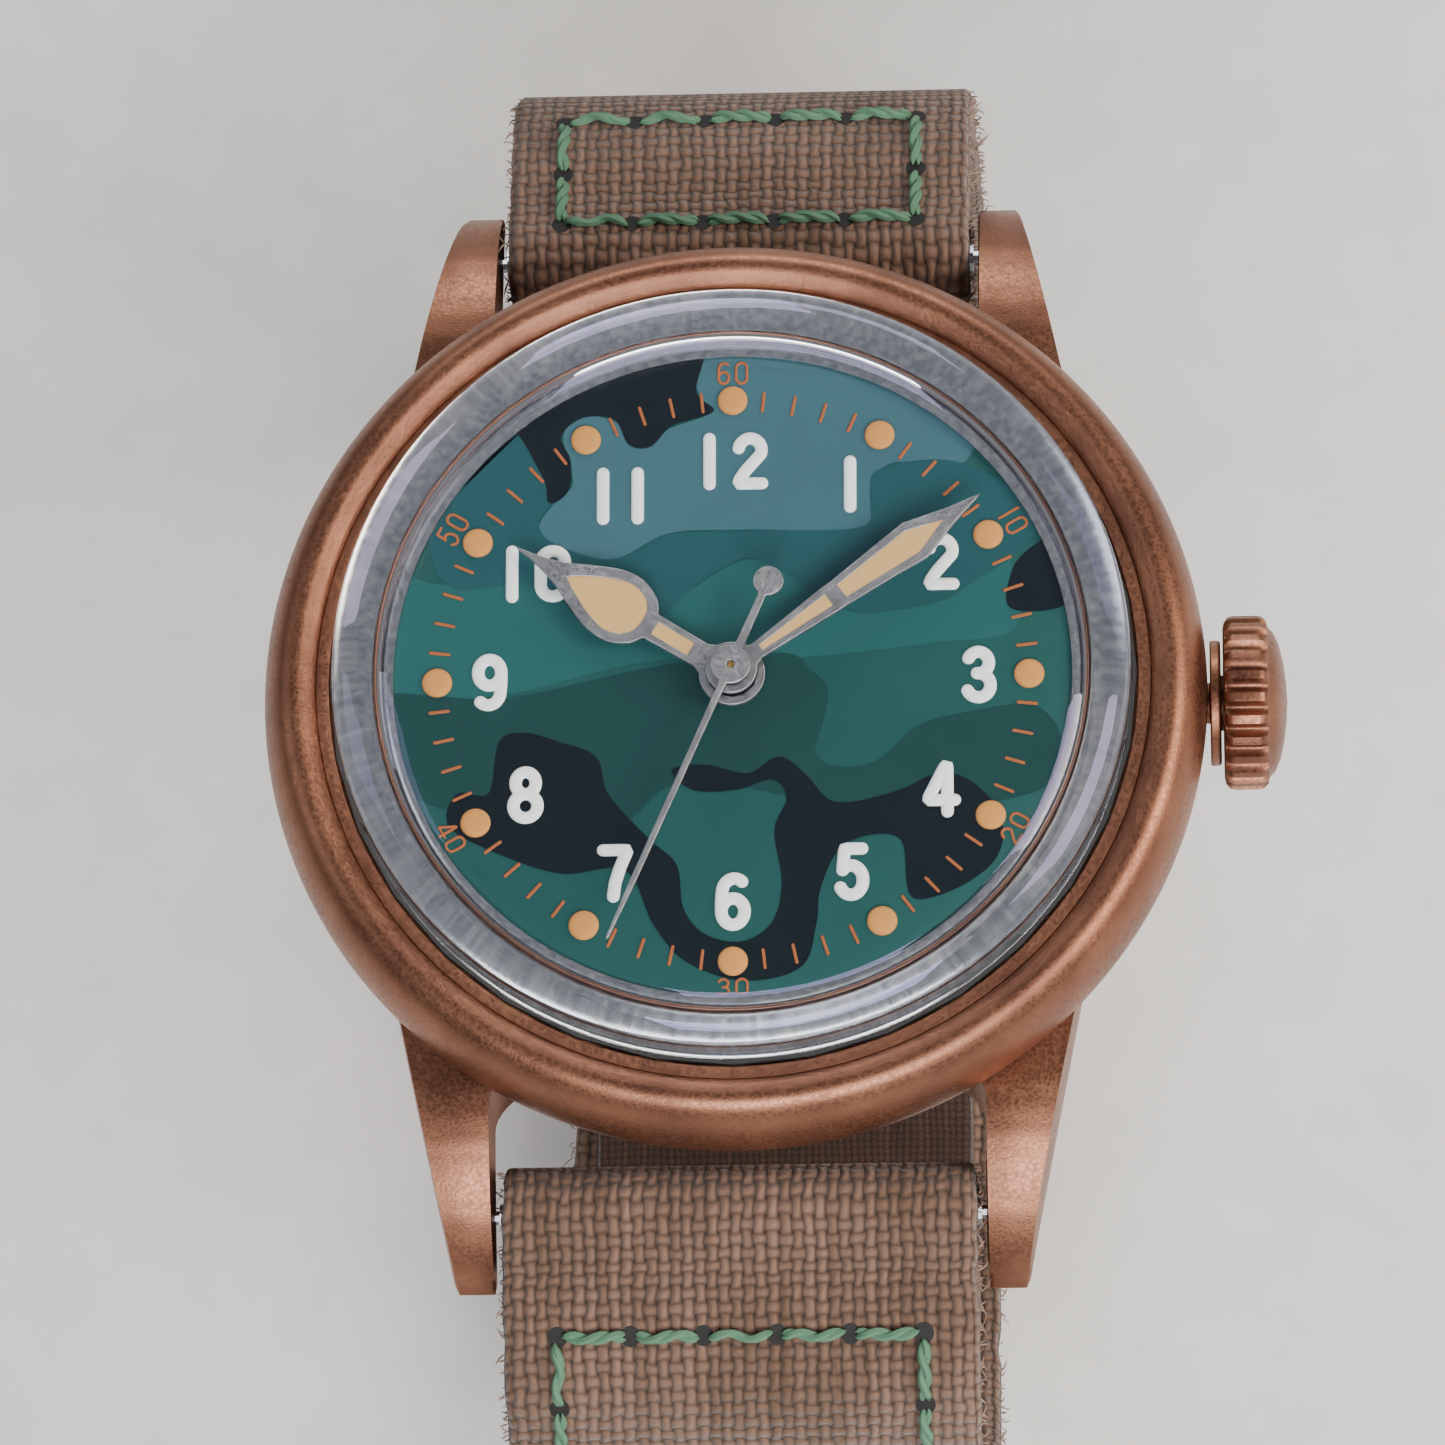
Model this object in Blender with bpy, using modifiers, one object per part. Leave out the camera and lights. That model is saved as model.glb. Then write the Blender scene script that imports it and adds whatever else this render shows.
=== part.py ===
"""A hand-wound wristwatch on a buckled canvas strap.

The sizes below are millimetres, and the helpers turn them into Blender's metres.
+Z leaves the dial, +Y points to 12 o'clock and +X to the crown. The origin is the
centre of the caseback's outer face. The strap is a closed loop below the head.
"""

import math

import bmesh
import bpy
from mathutils import Matrix, Vector

MM = 0.001

# Steps of a full turn
LARGE, MEDIUM, SMALL, TINY = 32, 20, 12, 8

# Fits
FIT = 0.05          # radial clearance of turning and seated pieces
SEAM = 0.1          # gap between faces that rest on each other

# Head
BEZEL_R, BEZEL_IN_R, BEZEL_FOOT_R = 19.5, 16.65, 17.25
BEZEL_LOW, BEZEL_WIDEST, BEZEL_TOP = 5.3, 5.9, 8.9
BEZEL_ROUND, CREST_STEPS = 125, 5   # degrees of arc from its widest circle to its inner ledge
CASE_R, CASE_BORE_R, CASE_LOW, CASE_SHELF, CASE_TOP = 18.9, 14.6, 0.9, 5.2, 7.6
GASKET_STEP_R, GASKET_STEP = 15.6, 1.5
BACK_R, BACK_T, BACK_PLUG_R, BACK_WALL = 16.3, 0.8, 14.4, 0.9
CRYSTAL_R, CRYSTAL_IN_R, CRYSTAL_LOW, CRYSTAL_SHOULDER, CRYSTAL_TOP = 16.4, 14.7, 8.0, 10.4, 12.2
CRYSTAL_ROOF = 1.5
DIAL_R, DIAL_T, DIAL_TOP, DIAL_OPENING_R = 14.4, 0.4, 7.6, 14.0

# Lugs, for a strap 20 mm wide
LUG_IN, LUG_OUT_ROOT, LUG_OUT_TIP = 10.1, 14.2, 11.8
LUG_ROOT_Y, LUG_TIP_Y = 12.0, 23.8
BAR_Y, BAR_Z, BAR_R, BAR_TIP_R, BAR_TIP_OUT = 21.0, 1.5, 0.75, 0.4, 0.8

# Crown and stem, on an axis along X
CROWN_Z, CROWN_R, CROWN_IN, CROWN_OUT, CROWN_DOME = 4.0, 3.6, 20.15, 22.0, 22.8
CROWN_BORE_R, CROWN_BORE_OUT, FLUTES, FLUTE_DEPTH = 1.75, 21.2, 24, 0.32
TUBE_R, TUBE_NECK_R, TUBE_COLLAR_R, TUBE_BORE_R = 0.85, 1.15, 2.6, 0.6
STEM_R, STEM_THIN_R, STEM_IN, STEM_THIN_END = 0.5, 0.4, 7.0, 13.0
GROOVE_IN, GROOVE_OUT, GROOVE_R = 11.15, 11.65, 0.25
PINION_IN, PINION_OUT, CLUTCH_IN, CLUTCH_OUT = 8.8, 9.6, 7.9, 8.6
LEVER_PIVOT = (11.6, -2.75)
LEVER_PIN = (11.4, -0.44)

# Movement: heights and places of its axes
PLATE_R, PLATE_LOW, PLATE_TOP = 12.6, 5.4, 6.55
BRIDGE_LOW, BRIDGE_TOP = 1.9, 2.4
PILLAR_R, PILLAR_AT_R = 1.0, 11.3
TRAIN_D, BARREL_D, ESCAPE_D, MOTION_D = 3.6, 5.04, 3.55, 3.4
BARREL_TEETH, CENTRE_LEAVES = 54, 9
CENTRE_TEETH, THIRD_LEAVES, THIRD_TEETH, FOURTH_LEAVES = 45, 6, 48, 6
FOURTH_TEETH, ESCAPE_LEAVES, ESCAPE_TEETH = 60, 6, 15
CANNON_LEAVES, MINUTE_TEETH, MINUTE_LEAVES, HOUR_TEETH = 10, 30, 8, 32
CROWN_TEETH, RATCHET_TEETH, WINDING_LEAVES = 20, 30, 12
THIRD_ANGLE, ESCAPE_ANGLE, MOTION_ANGLE = -100.0, 191.0, -80.0
CROWN_WHEEL_X, WINDING_D = 7.6, 5.4
FORK_D, BALANCE_D, FORK_ANGLE = 2.6, 4.6, 220.0
ARBOR_R, JEWEL_R = 0.1, 0.18
BALANCE_R = 3.5
WHEEL_T = 0.15
FOURTH_Z, THIRD_Z, CENTRE_Z, RATCHET_Z, ESCAPE_Z = 2.55, 2.85, 3.15, 1.5, 4.3
BARREL_LOW, BARREL_TOP, BARREL_R, BARREL_TEETH_Z = 3.6, 5.2, 4.1, 4.5
SWEEP_R, HOLLOW_R, CENTRE_TUBE_R, CANNON_R, HOUR_PIPE_R = 0.15, 0.22, 0.45, 0.75, 1.05
HOUR_Z, MINUTE_Z, SECONDS_Z, HAND_T = 8.15, 8.75, 9.3, 0.2

# Strap: layers, folds and buckle
STRAP_W, CANVAS_T, LINING_T = 19.6, 1.2, 1.0
LINING_W = 17.2
FLAP = 7.0
PIN_Y, PIN_Z, PIN_R = 9.0, -41.0, 0.8
FAR_BAR_Y, FAR_BAR_Z, FRAME_R, FRAME_X = PIN_Y - 10.4, -44.1, 1.1, 12.2
TAIL_GAP = 2.8
KEEPER_T, KEEPER_W = 1.0, 4.0


def on_circle(radius, degrees, centre=(0.0, 0.0)):
    turn = math.radians(degrees)
    return (centre[0] + radius * math.cos(turn), centre[1] + radius * math.sin(turn))


THIRD = on_circle(TRAIN_D, THIRD_ANGLE)
ESCAPE = on_circle(ESCAPE_D, ESCAPE_ANGLE)
MOTION = on_circle(MOTION_D, MOTION_ANGLE)
FORK = on_circle(FORK_D, FORK_ANGLE, ESCAPE)
BALANCE = on_circle(BALANCE_D, FORK_ANGLE, ESCAPE)
BARREL_X = (BARREL_D**2 - WINDING_D**2 + CROWN_WHEEL_X**2) / (2 * CROWN_WHEEL_X)
BARREL = (BARREL_X, math.sqrt(BARREL_D**2 - BARREL_X**2))
CROWN_WHEEL = (CROWN_WHEEL_X, 0.0)
CLICK = on_circle(4.7, 105, BARREL)


# ---- scene and helpers ----

for old in list(bpy.data.objects):
    bpy.data.objects.remove(old, do_unlink=True)

PARTS = bpy.data.collections.new("wristwatch")
CUTTERS = bpy.data.collections.new("cutters")
CUTTERS.hide_render = True
for group in (PARTS, CUTTERS):
    bpy.context.scene.collection.children.link(group)


def material(name, colour, roughness, metallic=0.0, see_through=0.0):
    made = bpy.data.materials.new(name)
    made.use_nodes = True
    shader = made.node_tree.nodes["Principled BSDF"]
    shader.inputs["Base Color"].default_value = (*colour, 1.0)
    shader.inputs["Roughness"].default_value = roughness
    shader.inputs["Metallic"].default_value = metallic
    shader.inputs["Transmission Weight"].default_value = see_through
    return made


BRONZE = material("blasted bronze", (0.52, 0.30, 0.20), 0.45, 1.0)
STEEL = material("polished steel", (0.75, 0.75, 0.76), 0.18, 1.0)
BRASS = material("gilt brass", (0.80, 0.60, 0.28), 0.25, 1.0)
NICKEL = material("nickel plate", (0.62, 0.62, 0.60), 0.3, 1.0)
GLASS = material("crystal glass", (1.0, 1.0, 1.0), 0.02, 0.0, 1.0)
RUBBER = material("black rubber", (0.02, 0.02, 0.02), 0.6)
GREEN = material("dial green", (0.05, 0.17, 0.15), 0.4)
CANVAS = material("brown canvas", (0.13, 0.08, 0.05), 0.9)
LEATHER = material("dark lining", (0.035, 0.02, 0.014), 0.7)


def place(name, mesh, finish, at=(0.0, 0.0, 0.0), along="Z", helper=False):
    """An object whose local Z points along the named world axis, at a point in millimetres."""
    made = bpy.data.objects.new(name, mesh)
    (CUTTERS if helper else PARTS).objects.link(made)
    made.location = Vector(at) * MM
    if along == "X":
        made.rotation_euler = (0.0, math.pi / 2, 0.0)
    if finish:
        mesh.materials.append(finish)
    if helper:
        made.hide_render = True
        made.display_type = "WIRE"
    return made


def turned(name, profile, finish=None, at=(0, 0, 0), steps=LARGE, along="Z", helper=False):
    """A solid of revolution. Its profile of (radius, height) runs down its outer side."""
    mesh = bpy.data.meshes.new(name)
    last = len(profile) - 1
    edges = [(i, i + 1) for i in range(last)]
    if profile[0][0] > 0 or profile[-1][0] > 0:
        edges.append((last, 0))
    mesh.from_pydata([(r * MM, 0, z * MM) for r, z in profile], edges, [])
    made = place(name, mesh, finish, at, along, helper)
    screw = made.modifiers.new("turn", "SCREW")
    screw.steps = screw.render_steps = steps
    screw.use_merge_vertices = True
    screw.merge_threshold = 1e-6
    return made


def rod(name, radius, low, high, finish=None, at=(0, 0), steps=SMALL, along="Z", helper=False):
    """A plain cylinder from one height to another on an axis."""
    profile = [(0, high), (radius, high), (radius, low), (0, low)]
    where = (0, at[0], at[1]) if along == "X" else (*at, 0)
    return turned(name, profile, finish, where, steps, along, helper)


def flat(name, outlines, low, high, finish=None, at=(0, 0), helper=False):
    """Closed outlines, holes included, filled and extruded between two heights."""
    curve = bpy.data.curves.new(name, "CURVE")
    curve.dimensions = "2D"
    curve.fill_mode = "BOTH"
    curve.extrude = (high - low) / 2
    for outline in outlines:
        spline = curve.splines.new("POLY")
        spline.points.add(len(outline) - 1)
        for point, (x, y) in zip(spline.points, outline):
            point.co = (x, y, 0, 1)
        spline.use_cyclic_u = True
    drawn = bpy.data.objects.new(name + "_outline", curve)
    CUTTERS.objects.link(drawn)
    bpy.context.view_layer.update()
    graph = bpy.context.evaluated_depsgraph_get()
    mesh = bpy.data.meshes.new_from_object(drawn.evaluated_get(graph))
    bpy.data.objects.remove(drawn)
    shape = bmesh.new()
    shape.from_mesh(mesh)
    bmesh.ops.remove_doubles(shape, verts=shape.verts, dist=1e-4)
    bmesh.ops.translate(shape, verts=shape.verts, vec=(0, 0, (low + high) / 2))
    bmesh.ops.scale(shape, verts=shape.verts, vec=(MM, MM, MM))
    bmesh.ops.recalc_face_normals(shape, faces=shape.faces)
    shape.to_mesh(mesh)
    shape.free()
    mesh.name = name
    return place(name, mesh, finish, (*at, 0), "Z", helper)


def box(name, low, high, finish=None, helper=False):
    """A block between two corners."""
    shape = bmesh.new()
    bmesh.ops.create_cube(shape, size=1.0)
    size = [(b - a) * MM for a, b in zip(low, high)]
    middle = [(a + b) / 2 for a, b in zip(low, high)]
    bmesh.ops.scale(shape, verts=shape.verts, vec=size)
    mesh = bpy.data.meshes.new(name)
    shape.to_mesh(mesh)
    shape.free()
    return place(name, mesh, finish, middle, "Z", helper)


def wire(name, points, radius, finish=None, cyclic=False):
    """A round wire through points, as a mesh with welded caps."""
    curve = bpy.data.curves.new(name, "CURVE")
    curve.dimensions = "3D"
    curve.bevel_depth = radius
    curve.bevel_resolution = 2
    curve.use_fill_caps = True
    spline = curve.splines.new("POLY")
    spline.points.add(len(points) - 1)
    for point, co in zip(spline.points, points):
        point.co = (*co, 1)
    spline.use_cyclic_u = cyclic
    drawn = bpy.data.objects.new(name + "_route", curve)
    CUTTERS.objects.link(drawn)
    bpy.context.view_layer.update()
    graph = bpy.context.evaluated_depsgraph_get()
    mesh = bpy.data.meshes.new_from_object(drawn.evaluated_get(graph))
    bpy.data.objects.remove(drawn)
    shape = bmesh.new()
    shape.from_mesh(mesh)
    bmesh.ops.remove_doubles(shape, verts=shape.verts, dist=1e-4)
    bmesh.ops.scale(shape, verts=shape.verts, vec=(MM, MM, MM))
    shape.to_mesh(mesh)
    shape.free()
    mesh.name = name
    return place(name, mesh, finish)


def combine(target, other, operation):
    """Joins or cuts target with another object, which becomes a helper."""
    if other.name in PARTS.objects:
        PARTS.objects.unlink(other)
        CUTTERS.objects.link(other)
    other.hide_render = True
    other.display_type = "WIRE"
    step = target.modifiers.new(f"{operation.lower()} {other.name}", "BOOLEAN")
    step.operation = operation
    step.object = other


def cut(target, *others):
    for other in others:
        combine(target, other, "DIFFERENCE")


def join(target, *others):
    for other in others:
        combine(target, other, "UNION")


def circle(radius, steps=MEDIUM, centre=(0.0, 0.0)):
    return [on_circle(radius, 360 * i / steps, centre) for i in range(steps)]


def arc(radius, start, end, steps, centre=(0.0, 0.0)):
    return [on_circle(radius, start + (end - start) * i / steps, centre) for i in range(steps + 1)]


# ---- toothed wheels ----

def module(distance, *teeth):
    """The module with which wheels of these numbers of teeth mesh at a distance."""
    return 2 * distance / sum(teeth)


def wheel_outline(teeth, size, towards):
    """Pointed wheel teeth, with a tooth on the line at the given angle."""
    pitch = 360 / teeth
    tip, root = size * (teeth / 2 + 0.9), size * (teeth / 2 - 1.5)
    outline = []
    for i in range(teeth):
        centre = towards + i * pitch
        outline += [on_circle(root, centre - pitch / 2), on_circle(tip, centre)]
    return outline


def pinion_outline(leaves, size, towards):
    """Pinion leaves, with a gap on the line at the given angle."""
    pitch = 360 / leaves
    tip, root = size * (leaves / 2 + 0.6), size * (leaves / 2 - 1.6)
    outline = []
    for i in range(leaves):
        centre = towards + (i + 0.5) * pitch
        outline += [on_circle(root, centre - 0.15 * pitch), on_circle(tip, centre - 0.08 * pitch)]
        outline += [on_circle(tip, centre + 0.08 * pitch), on_circle(root, centre + 0.15 * pitch)]
    return outline


def windows(count, inner, outer, arm):
    """The openings between a wheel's arms."""
    holes = []
    for i in range(count):
        start, end = 360 * i / count, 360 * (i + 1) / count
        near, far = math.degrees(arm / inner) / 2, math.degrees(arm / outer) / 2
        edge = arc(outer, start + far, end - far, 12 // count)
        holes.append(edge + arc(inner, end - near, start + near, 6 // count))
    return holes


# ---- head ----

def case_middle():
    profile = [
        (CASE_BORE_R, CASE_TOP), (BEZEL_FOOT_R - FIT, CASE_TOP), (BEZEL_FOOT_R - FIT, CASE_SHELF),
        (CASE_R, CASE_SHELF), (CASE_R - 0.1, 3.8), (CASE_R - 1.1, 1.8), (CASE_R - 2.0, CASE_LOW),
        (GASKET_STEP_R, CASE_LOW), (GASKET_STEP_R, GASKET_STEP), (CASE_BORE_R, GASKET_STEP),
    ]
    case = turned("case_middle", profile, BRONZE)
    side = [
        (LUG_ROOT_Y, 5.05), (16.5, 5.0), (18.6, 4.55), (20.6, 3.6), (22.3, 2.2), (23.3, 0.8),
        (LUG_TIP_Y, -0.1), (23.2, -0.5), (21.0, -0.3), (18.0, 0.4), (LUG_ROOT_Y, 1.6),
    ]
    for x_side in (-1, 1):
        for y_side in (-1, 1):
            lug = flat(f"lug_{x_side}_{y_side}", [side], LUG_IN, LUG_OUT_ROOT, helper=True)
            for vertex in lug.data.vertices:
                y, z, x = vertex.co / MM
                if x > LUG_IN + 0.1:
                    share = (y - LUG_ROOT_Y) / (LUG_TIP_Y - LUG_ROOT_Y)
                    x = LUG_OUT_ROOT + share * (LUG_OUT_TIP - LUG_OUT_ROOT)
                vertex.co = Vector((x * x_side, y * y_side, z)) * MM
            shape = bmesh.new()
            shape.from_mesh(lug.data)
            bmesh.ops.recalc_face_normals(shape, faces=shape.faces)
            shape.to_mesh(lug.data)
            shape.free()
            join(case, lug)
    reach = LUG_IN + BAR_TIP_OUT + 0.4
    for y_side in (-1, 1):
        hole = rod(f"bar_hole_{y_side}", BAR_TIP_R + FIT, -reach, reach,
                   at=(y_side * BAR_Y, BAR_Z), steps=TINY, along="X", helper=True)
        cut(case, hole)
    cut(case, rod("tube_hole", TUBE_R + FIT, 13.0, 21.0, at=(0, CROWN_Z), along="X", helper=True))


def bezel():
    middle_r = (BEZEL_R + BEZEL_IN_R) / 2
    half_w, rise = (BEZEL_R - BEZEL_IN_R) / 2, BEZEL_TOP - BEZEL_WIDEST
    crest = []
    for i in range(CREST_STEPS + 1):
        turn = math.radians(BEZEL_ROUND * (1 - i / CREST_STEPS))
        crest.append((middle_r + half_w * math.cos(turn), BEZEL_WIDEST + rise * math.sin(turn)))
    ledge = crest[0][1] - 0.05
    profile = [(BEZEL_IN_R, CASE_TOP + SEAM), (BEZEL_IN_R, ledge), (crest[0][0] - 0.05, ledge)] + crest
    profile += [(BEZEL_R - 0.3, BEZEL_LOW), (BEZEL_FOOT_R, BEZEL_LOW), (BEZEL_FOOT_R, CASE_TOP + SEAM)]
    turned("bezel", profile, BRONZE)


def crystal_outline(shrink, low):
    """The boxed dome, from its crown on the axis down to its rim."""
    rim, shoulder = CRYSTAL_R - shrink, CRYSTAL_SHOULDER - shrink
    top = CRYSTAL_TOP - shrink
    points = [(0, top)]
    for share in (0.4, 0.7, 0.9):
        points.append((share * (rim - 0.8), top - (top - shoulder - 0.6) * share**2))
    return points + [(rim - 0.25, shoulder + 0.15), (rim, shoulder - 0.5), (rim, low)]


def crystal_and_seals():
    outer = crystal_outline(0.0, CRYSTAL_LOW)
    inner = [(r, z) for r, z in crystal_outline(CRYSTAL_ROOF, CRYSTAL_LOW)]
    inner = inner[:4] + [(CRYSTAL_IN_R, CRYSTAL_SHOULDER - CRYSTAL_ROOF), (CRYSTAL_IN_R, CRYSTAL_LOW)]
    turned("crystal", outer + inner[::-1], GLASS)
    low, high = CRYSTAL_LOW + FIT, CRYSTAL_LOW + 0.3
    in_r, out_r = CRYSTAL_R + 0.04, BEZEL_IN_R - 0.04
    turned("crystal_gasket", [(in_r, high), (out_r, high), (out_r, low), (in_r, low)], RUBBER)
    low, high = CASE_TOP + SEAM, CRYSTAL_LOW - SEAM
    ring = [(DIAL_OPENING_R, high), (CRYSTAL_R, high), (CRYSTAL_R, low), (DIAL_OPENING_R, low)]
    turned("rehaut_ring", ring, STEEL)


def dial_and_ring():
    low = DIAL_TOP - DIAL_T
    bore = HOUR_PIPE_R + 3 * FIT
    turned("dial", [(bore, DIAL_TOP), (DIAL_R, DIAL_TOP), (DIAL_R, low), (bore, low)], GREEN)
    out_r, in_r = CASE_BORE_R - FIT, PLATE_R + FIT
    high, foot = low - SEAM, BACK_T + 1.4
    ring = turned("movement_ring", [(in_r, high), (out_r, high), (out_r, foot), (in_r, foot)], NICKEL)
    cut(ring, rod("ring_hole", STEM_R + 2 * FIT, 12.0, 15.0, at=(0, CROWN_Z),
                  steps=TINY, along="X", helper=True))


def caseback():
    top = CASE_LOW + 0.9
    profile = [
        (0, BACK_WALL), (BACK_PLUG_R - 0.8, BACK_WALL), (BACK_PLUG_R - 0.8, top), (BACK_PLUG_R, top),
        (BACK_PLUG_R, BACK_T), (BACK_R, BACK_T), (BACK_R, 0.35), (BACK_R - 0.5, 0), (0, 0),
    ]
    back = turned("caseback", profile, BRONZE)
    for i in range(6):
        x, y = on_circle(BACK_R, 60 * i)
        cut(back, rod(f"key_slot_{i}", 1.3, -1.0, 0.45, at=(x, y), steps=TINY, helper=True))
    in_r, out_r = BACK_PLUG_R + FIT + 0.1, GASKET_STEP_R - FIT
    low, high = BACK_T + SEAM, GASKET_STEP - SEAM / 2
    turned("caseback_gasket", [(in_r, high), (out_r, high), (out_r, low), (in_r, low)], RUBBER)


# ---- hands ----

def hand(name, outline, low, bore, finish=STEEL, hub=None):
    made = flat(name, [outline, circle(bore, SMALL)], low, low + HAND_T, finish)
    if hub:
        join(made, hub)
    return made


def rotated(points, degrees):
    """Points drawn with the hand at 12 o'clock, turned clockwise by an angle."""
    c, s = math.cos(math.radians(degrees)), math.sin(math.radians(degrees))
    return [(x * c + y * s, y * c - x * s) for x, y in points]


def mirrored(side):
    """A full outline from its right-hand side, which runs from the tip to the hub."""
    return side + [(-x, y) for x, y in reversed(side) if x > 0]


HOUR_ANGLE, MINUTE_ANGLE, SECONDS_ANGLE = 302.4, 54.2, 203.3


def hands():
    hub = [on_circle(1.36, a) for a in (55, 30, 0, -30, -60, -90)]
    side = [(0, 10.5), (0.25, 9.3), (0.6, 8.2), (1.1, 7.2), (1.5, 6.2), (1.55, 5.3), (1.2, 4.4), (0.6, 3.9), (0.58, 1.8)]
    hand("hour_hand", rotated(mirrored(side + hub), HOUR_ANGLE), HOUR_Z, HOUR_PIPE_R + FIT / 2)
    hub = [on_circle(1.05, a) for a in (65, 30, 0, -30, -60, -90)]
    side = [(0, 12.6), (0.35, 11.2), (0.95, 9.3), (0.8, 7.4), (0.35, 1.4)]
    hand("minute_hand", rotated(mirrored(side + hub), MINUTE_ANGLE), MINUTE_Z, CANNON_R + FIT / 2)
    weight = [on_circle(0.62, a, (0, -3.9)) for a in (60, 20, -20, -60, -90)]
    hub = [on_circle(0.82, a) for a in (75, 40, 0, -40, -75)]
    side = [(0, 12.7), (0.1, 12.6), (0.14, 0.9)] + hub + [(0.14, -3.2)] + weight
    seconds = hand("seconds_hand", rotated(mirrored(side), SECONDS_ANGLE), SECONDS_Z, SWEEP_R + 0.02)
    bore = SWEEP_R + 0.02
    boss = [(bore, SECONDS_Z + 0.05), (0.4, SECONDS_Z + 0.05), (0.4, SECONDS_Z - 0.15), (bore, SECONDS_Z - 0.15)]
    join(seconds, turned("seconds_boss", boss, steps=SMALL, helper=True))


# ---- movement ----

def arbor(name, low, high, at, radius=ARBOR_R, steps=TINY):
    return rod(name, radius, low, high, at=at, steps=steps, helper=True)


def motion_works():
    first = module(MOTION_D, CANNON_LEAVES, MINUTE_TEETH)
    second = module(MOTION_D, MINUTE_LEAVES, HOUR_TEETH)
    gear = flat("cannon_pinion", [pinion_outline(CANNON_LEAVES, first, MOTION_ANGLE), circle(0.5, SMALL)],
                6.65, 6.87, STEEL)
    top = MINUTE_Z + HAND_T
    pipe = [(0.5, top), (CANNON_R, top), (CANNON_R, 6.93), (0.62, 6.8), (0.5, 6.8)]
    join(gear, turned("cannon_pipe", pipe, steps=SMALL, helper=True))
    gear = flat("minute_wheel", [wheel_outline(MINUTE_TEETH, first, MOTION_ANGLE + 180), circle(0.25, TINY)],
                6.65, 6.78, BRASS, MOTION)
    join(gear, flat("minute_leaves", [pinion_outline(MINUTE_LEAVES, second, MOTION_ANGLE + 180),
                                      circle(0.25, TINY)], 6.72, 7.08, at=MOTION, helper=True))
    gear = flat("hour_wheel", [wheel_outline(HOUR_TEETH, second, MOTION_ANGLE), circle(0.85, SMALL)],
                6.96, 7.1, BRASS)
    top = HOUR_Z + HAND_T
    pipe = [(0.85, top), (HOUR_PIPE_R, top), (HOUR_PIPE_R, 7.0), (0.85, 7.0)]
    join(gear, turned("hour_pipe", pipe, steps=SMALL, helper=True))


def going_train():
    lower = module(TRAIN_D, CENTRE_TEETH, THIRD_LEAVES)
    upper = module(TRAIN_D, THIRD_TEETH, FOURTH_LEAVES)
    last = module(ESCAPE_D, FOURTH_TEETH, ESCAPE_LEAVES)
    outline = [wheel_outline(CENTRE_TEETH, lower, THIRD_ANGLE)]
    outline += windows(4, 1.1, 2.5, 0.5) + [circle(HOLLOW_R, TINY)]
    centre = flat("centre_wheel", outline, CENTRE_Z, CENTRE_Z + 0.2, BRASS)
    size = module(BARREL_D, BARREL_TEETH, CENTRE_LEAVES)
    leaves = flat("centre_leaves", [pinion_outline(CENTRE_LEAVES, size, BARREL_ANGLE), circle(HOLLOW_R, TINY)],
                  4.4, 5.1, helper=True)
    tube = [(HOLLOW_R, 8.5), (CENTRE_TUBE_R, 8.5), (CENTRE_TUBE_R, CENTRE_Z + 0.1), (HOLLOW_R, CENTRE_Z + 0.1)]
    join(centre, turned("centre_tube", tube, steps=TINY, helper=True), leaves)

    outline = [wheel_outline(THIRD_TEETH, upper, THIRD_ANGLE + 180)] + windows(4, 0.8, 2.6, 0.4)
    third = flat("third_wheel", outline, THIRD_Z, THIRD_Z + WHEEL_T, BRASS, THIRD)
    leaves = flat("third_leaves", [pinion_outline(THIRD_LEAVES, lower, THIRD_ANGLE + 180)],
                  THIRD_Z + 0.1, CENTRE_Z + 0.3, at=THIRD, helper=True)
    join(third, leaves, arbor("third_arbor", 2.0, 5.9, THIRD))

    outline = [wheel_outline(FOURTH_TEETH, last, ESCAPE_ANGLE)] + windows(4, 0.7, 2.4, 0.4)
    fourth = flat("fourth_wheel", outline, FOURTH_Z, FOURTH_Z + WHEEL_T, BRASS)
    leaves = flat("fourth_leaves", [pinion_outline(FOURTH_LEAVES, upper, THIRD_ANGLE)],
                  FOURTH_Z + 0.1, CENTRE_Z - 0.08, helper=True)
    join(fourth, leaves, arbor("sweep_arbor", 2.0, SECONDS_Z + 0.15, (0, 0), SWEEP_R))

    teeth = []
    for i in range(ESCAPE_TEETH):
        angle = ESCAPE_ANGLE + 360 / ESCAPE_TEETH * i
        teeth += [on_circle(1.55, angle), on_circle(2.1, angle + 9), on_circle(1.6, angle + 10)]
    escape = flat("escape_wheel", [teeth] + windows(4, 0.5, 1.3, 0.3), ESCAPE_Z, ESCAPE_Z + WHEEL_T,
                  STEEL, ESCAPE)
    leaves = flat("escape_leaves", [pinion_outline(ESCAPE_LEAVES, last, ESCAPE_ANGLE + 180)], 2.48, 2.78,
                  at=ESCAPE, helper=True)
    join(escape, leaves, arbor("escape_arbor", 2.0, 5.9, ESCAPE))


BARREL_ANGLE = math.degrees(math.atan2(BARREL[1], BARREL[0]))


def ribbon(name, centre, inner, outer, turns, low, high, thickness, finish, points):
    """A flat spiral spring."""
    count = int(turns * points)
    sides = [[], []]
    for i in range(count + 1):
        radius = inner + (outer - inner) * i / count
        for side, offset in zip(sides, (-thickness / 2, thickness / 2)):
            side.append(on_circle(radius + offset, 360 * turns * i / count))
    flat(name, [sides[0] + sides[1][::-1]], low, high, finish, centre)


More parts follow.
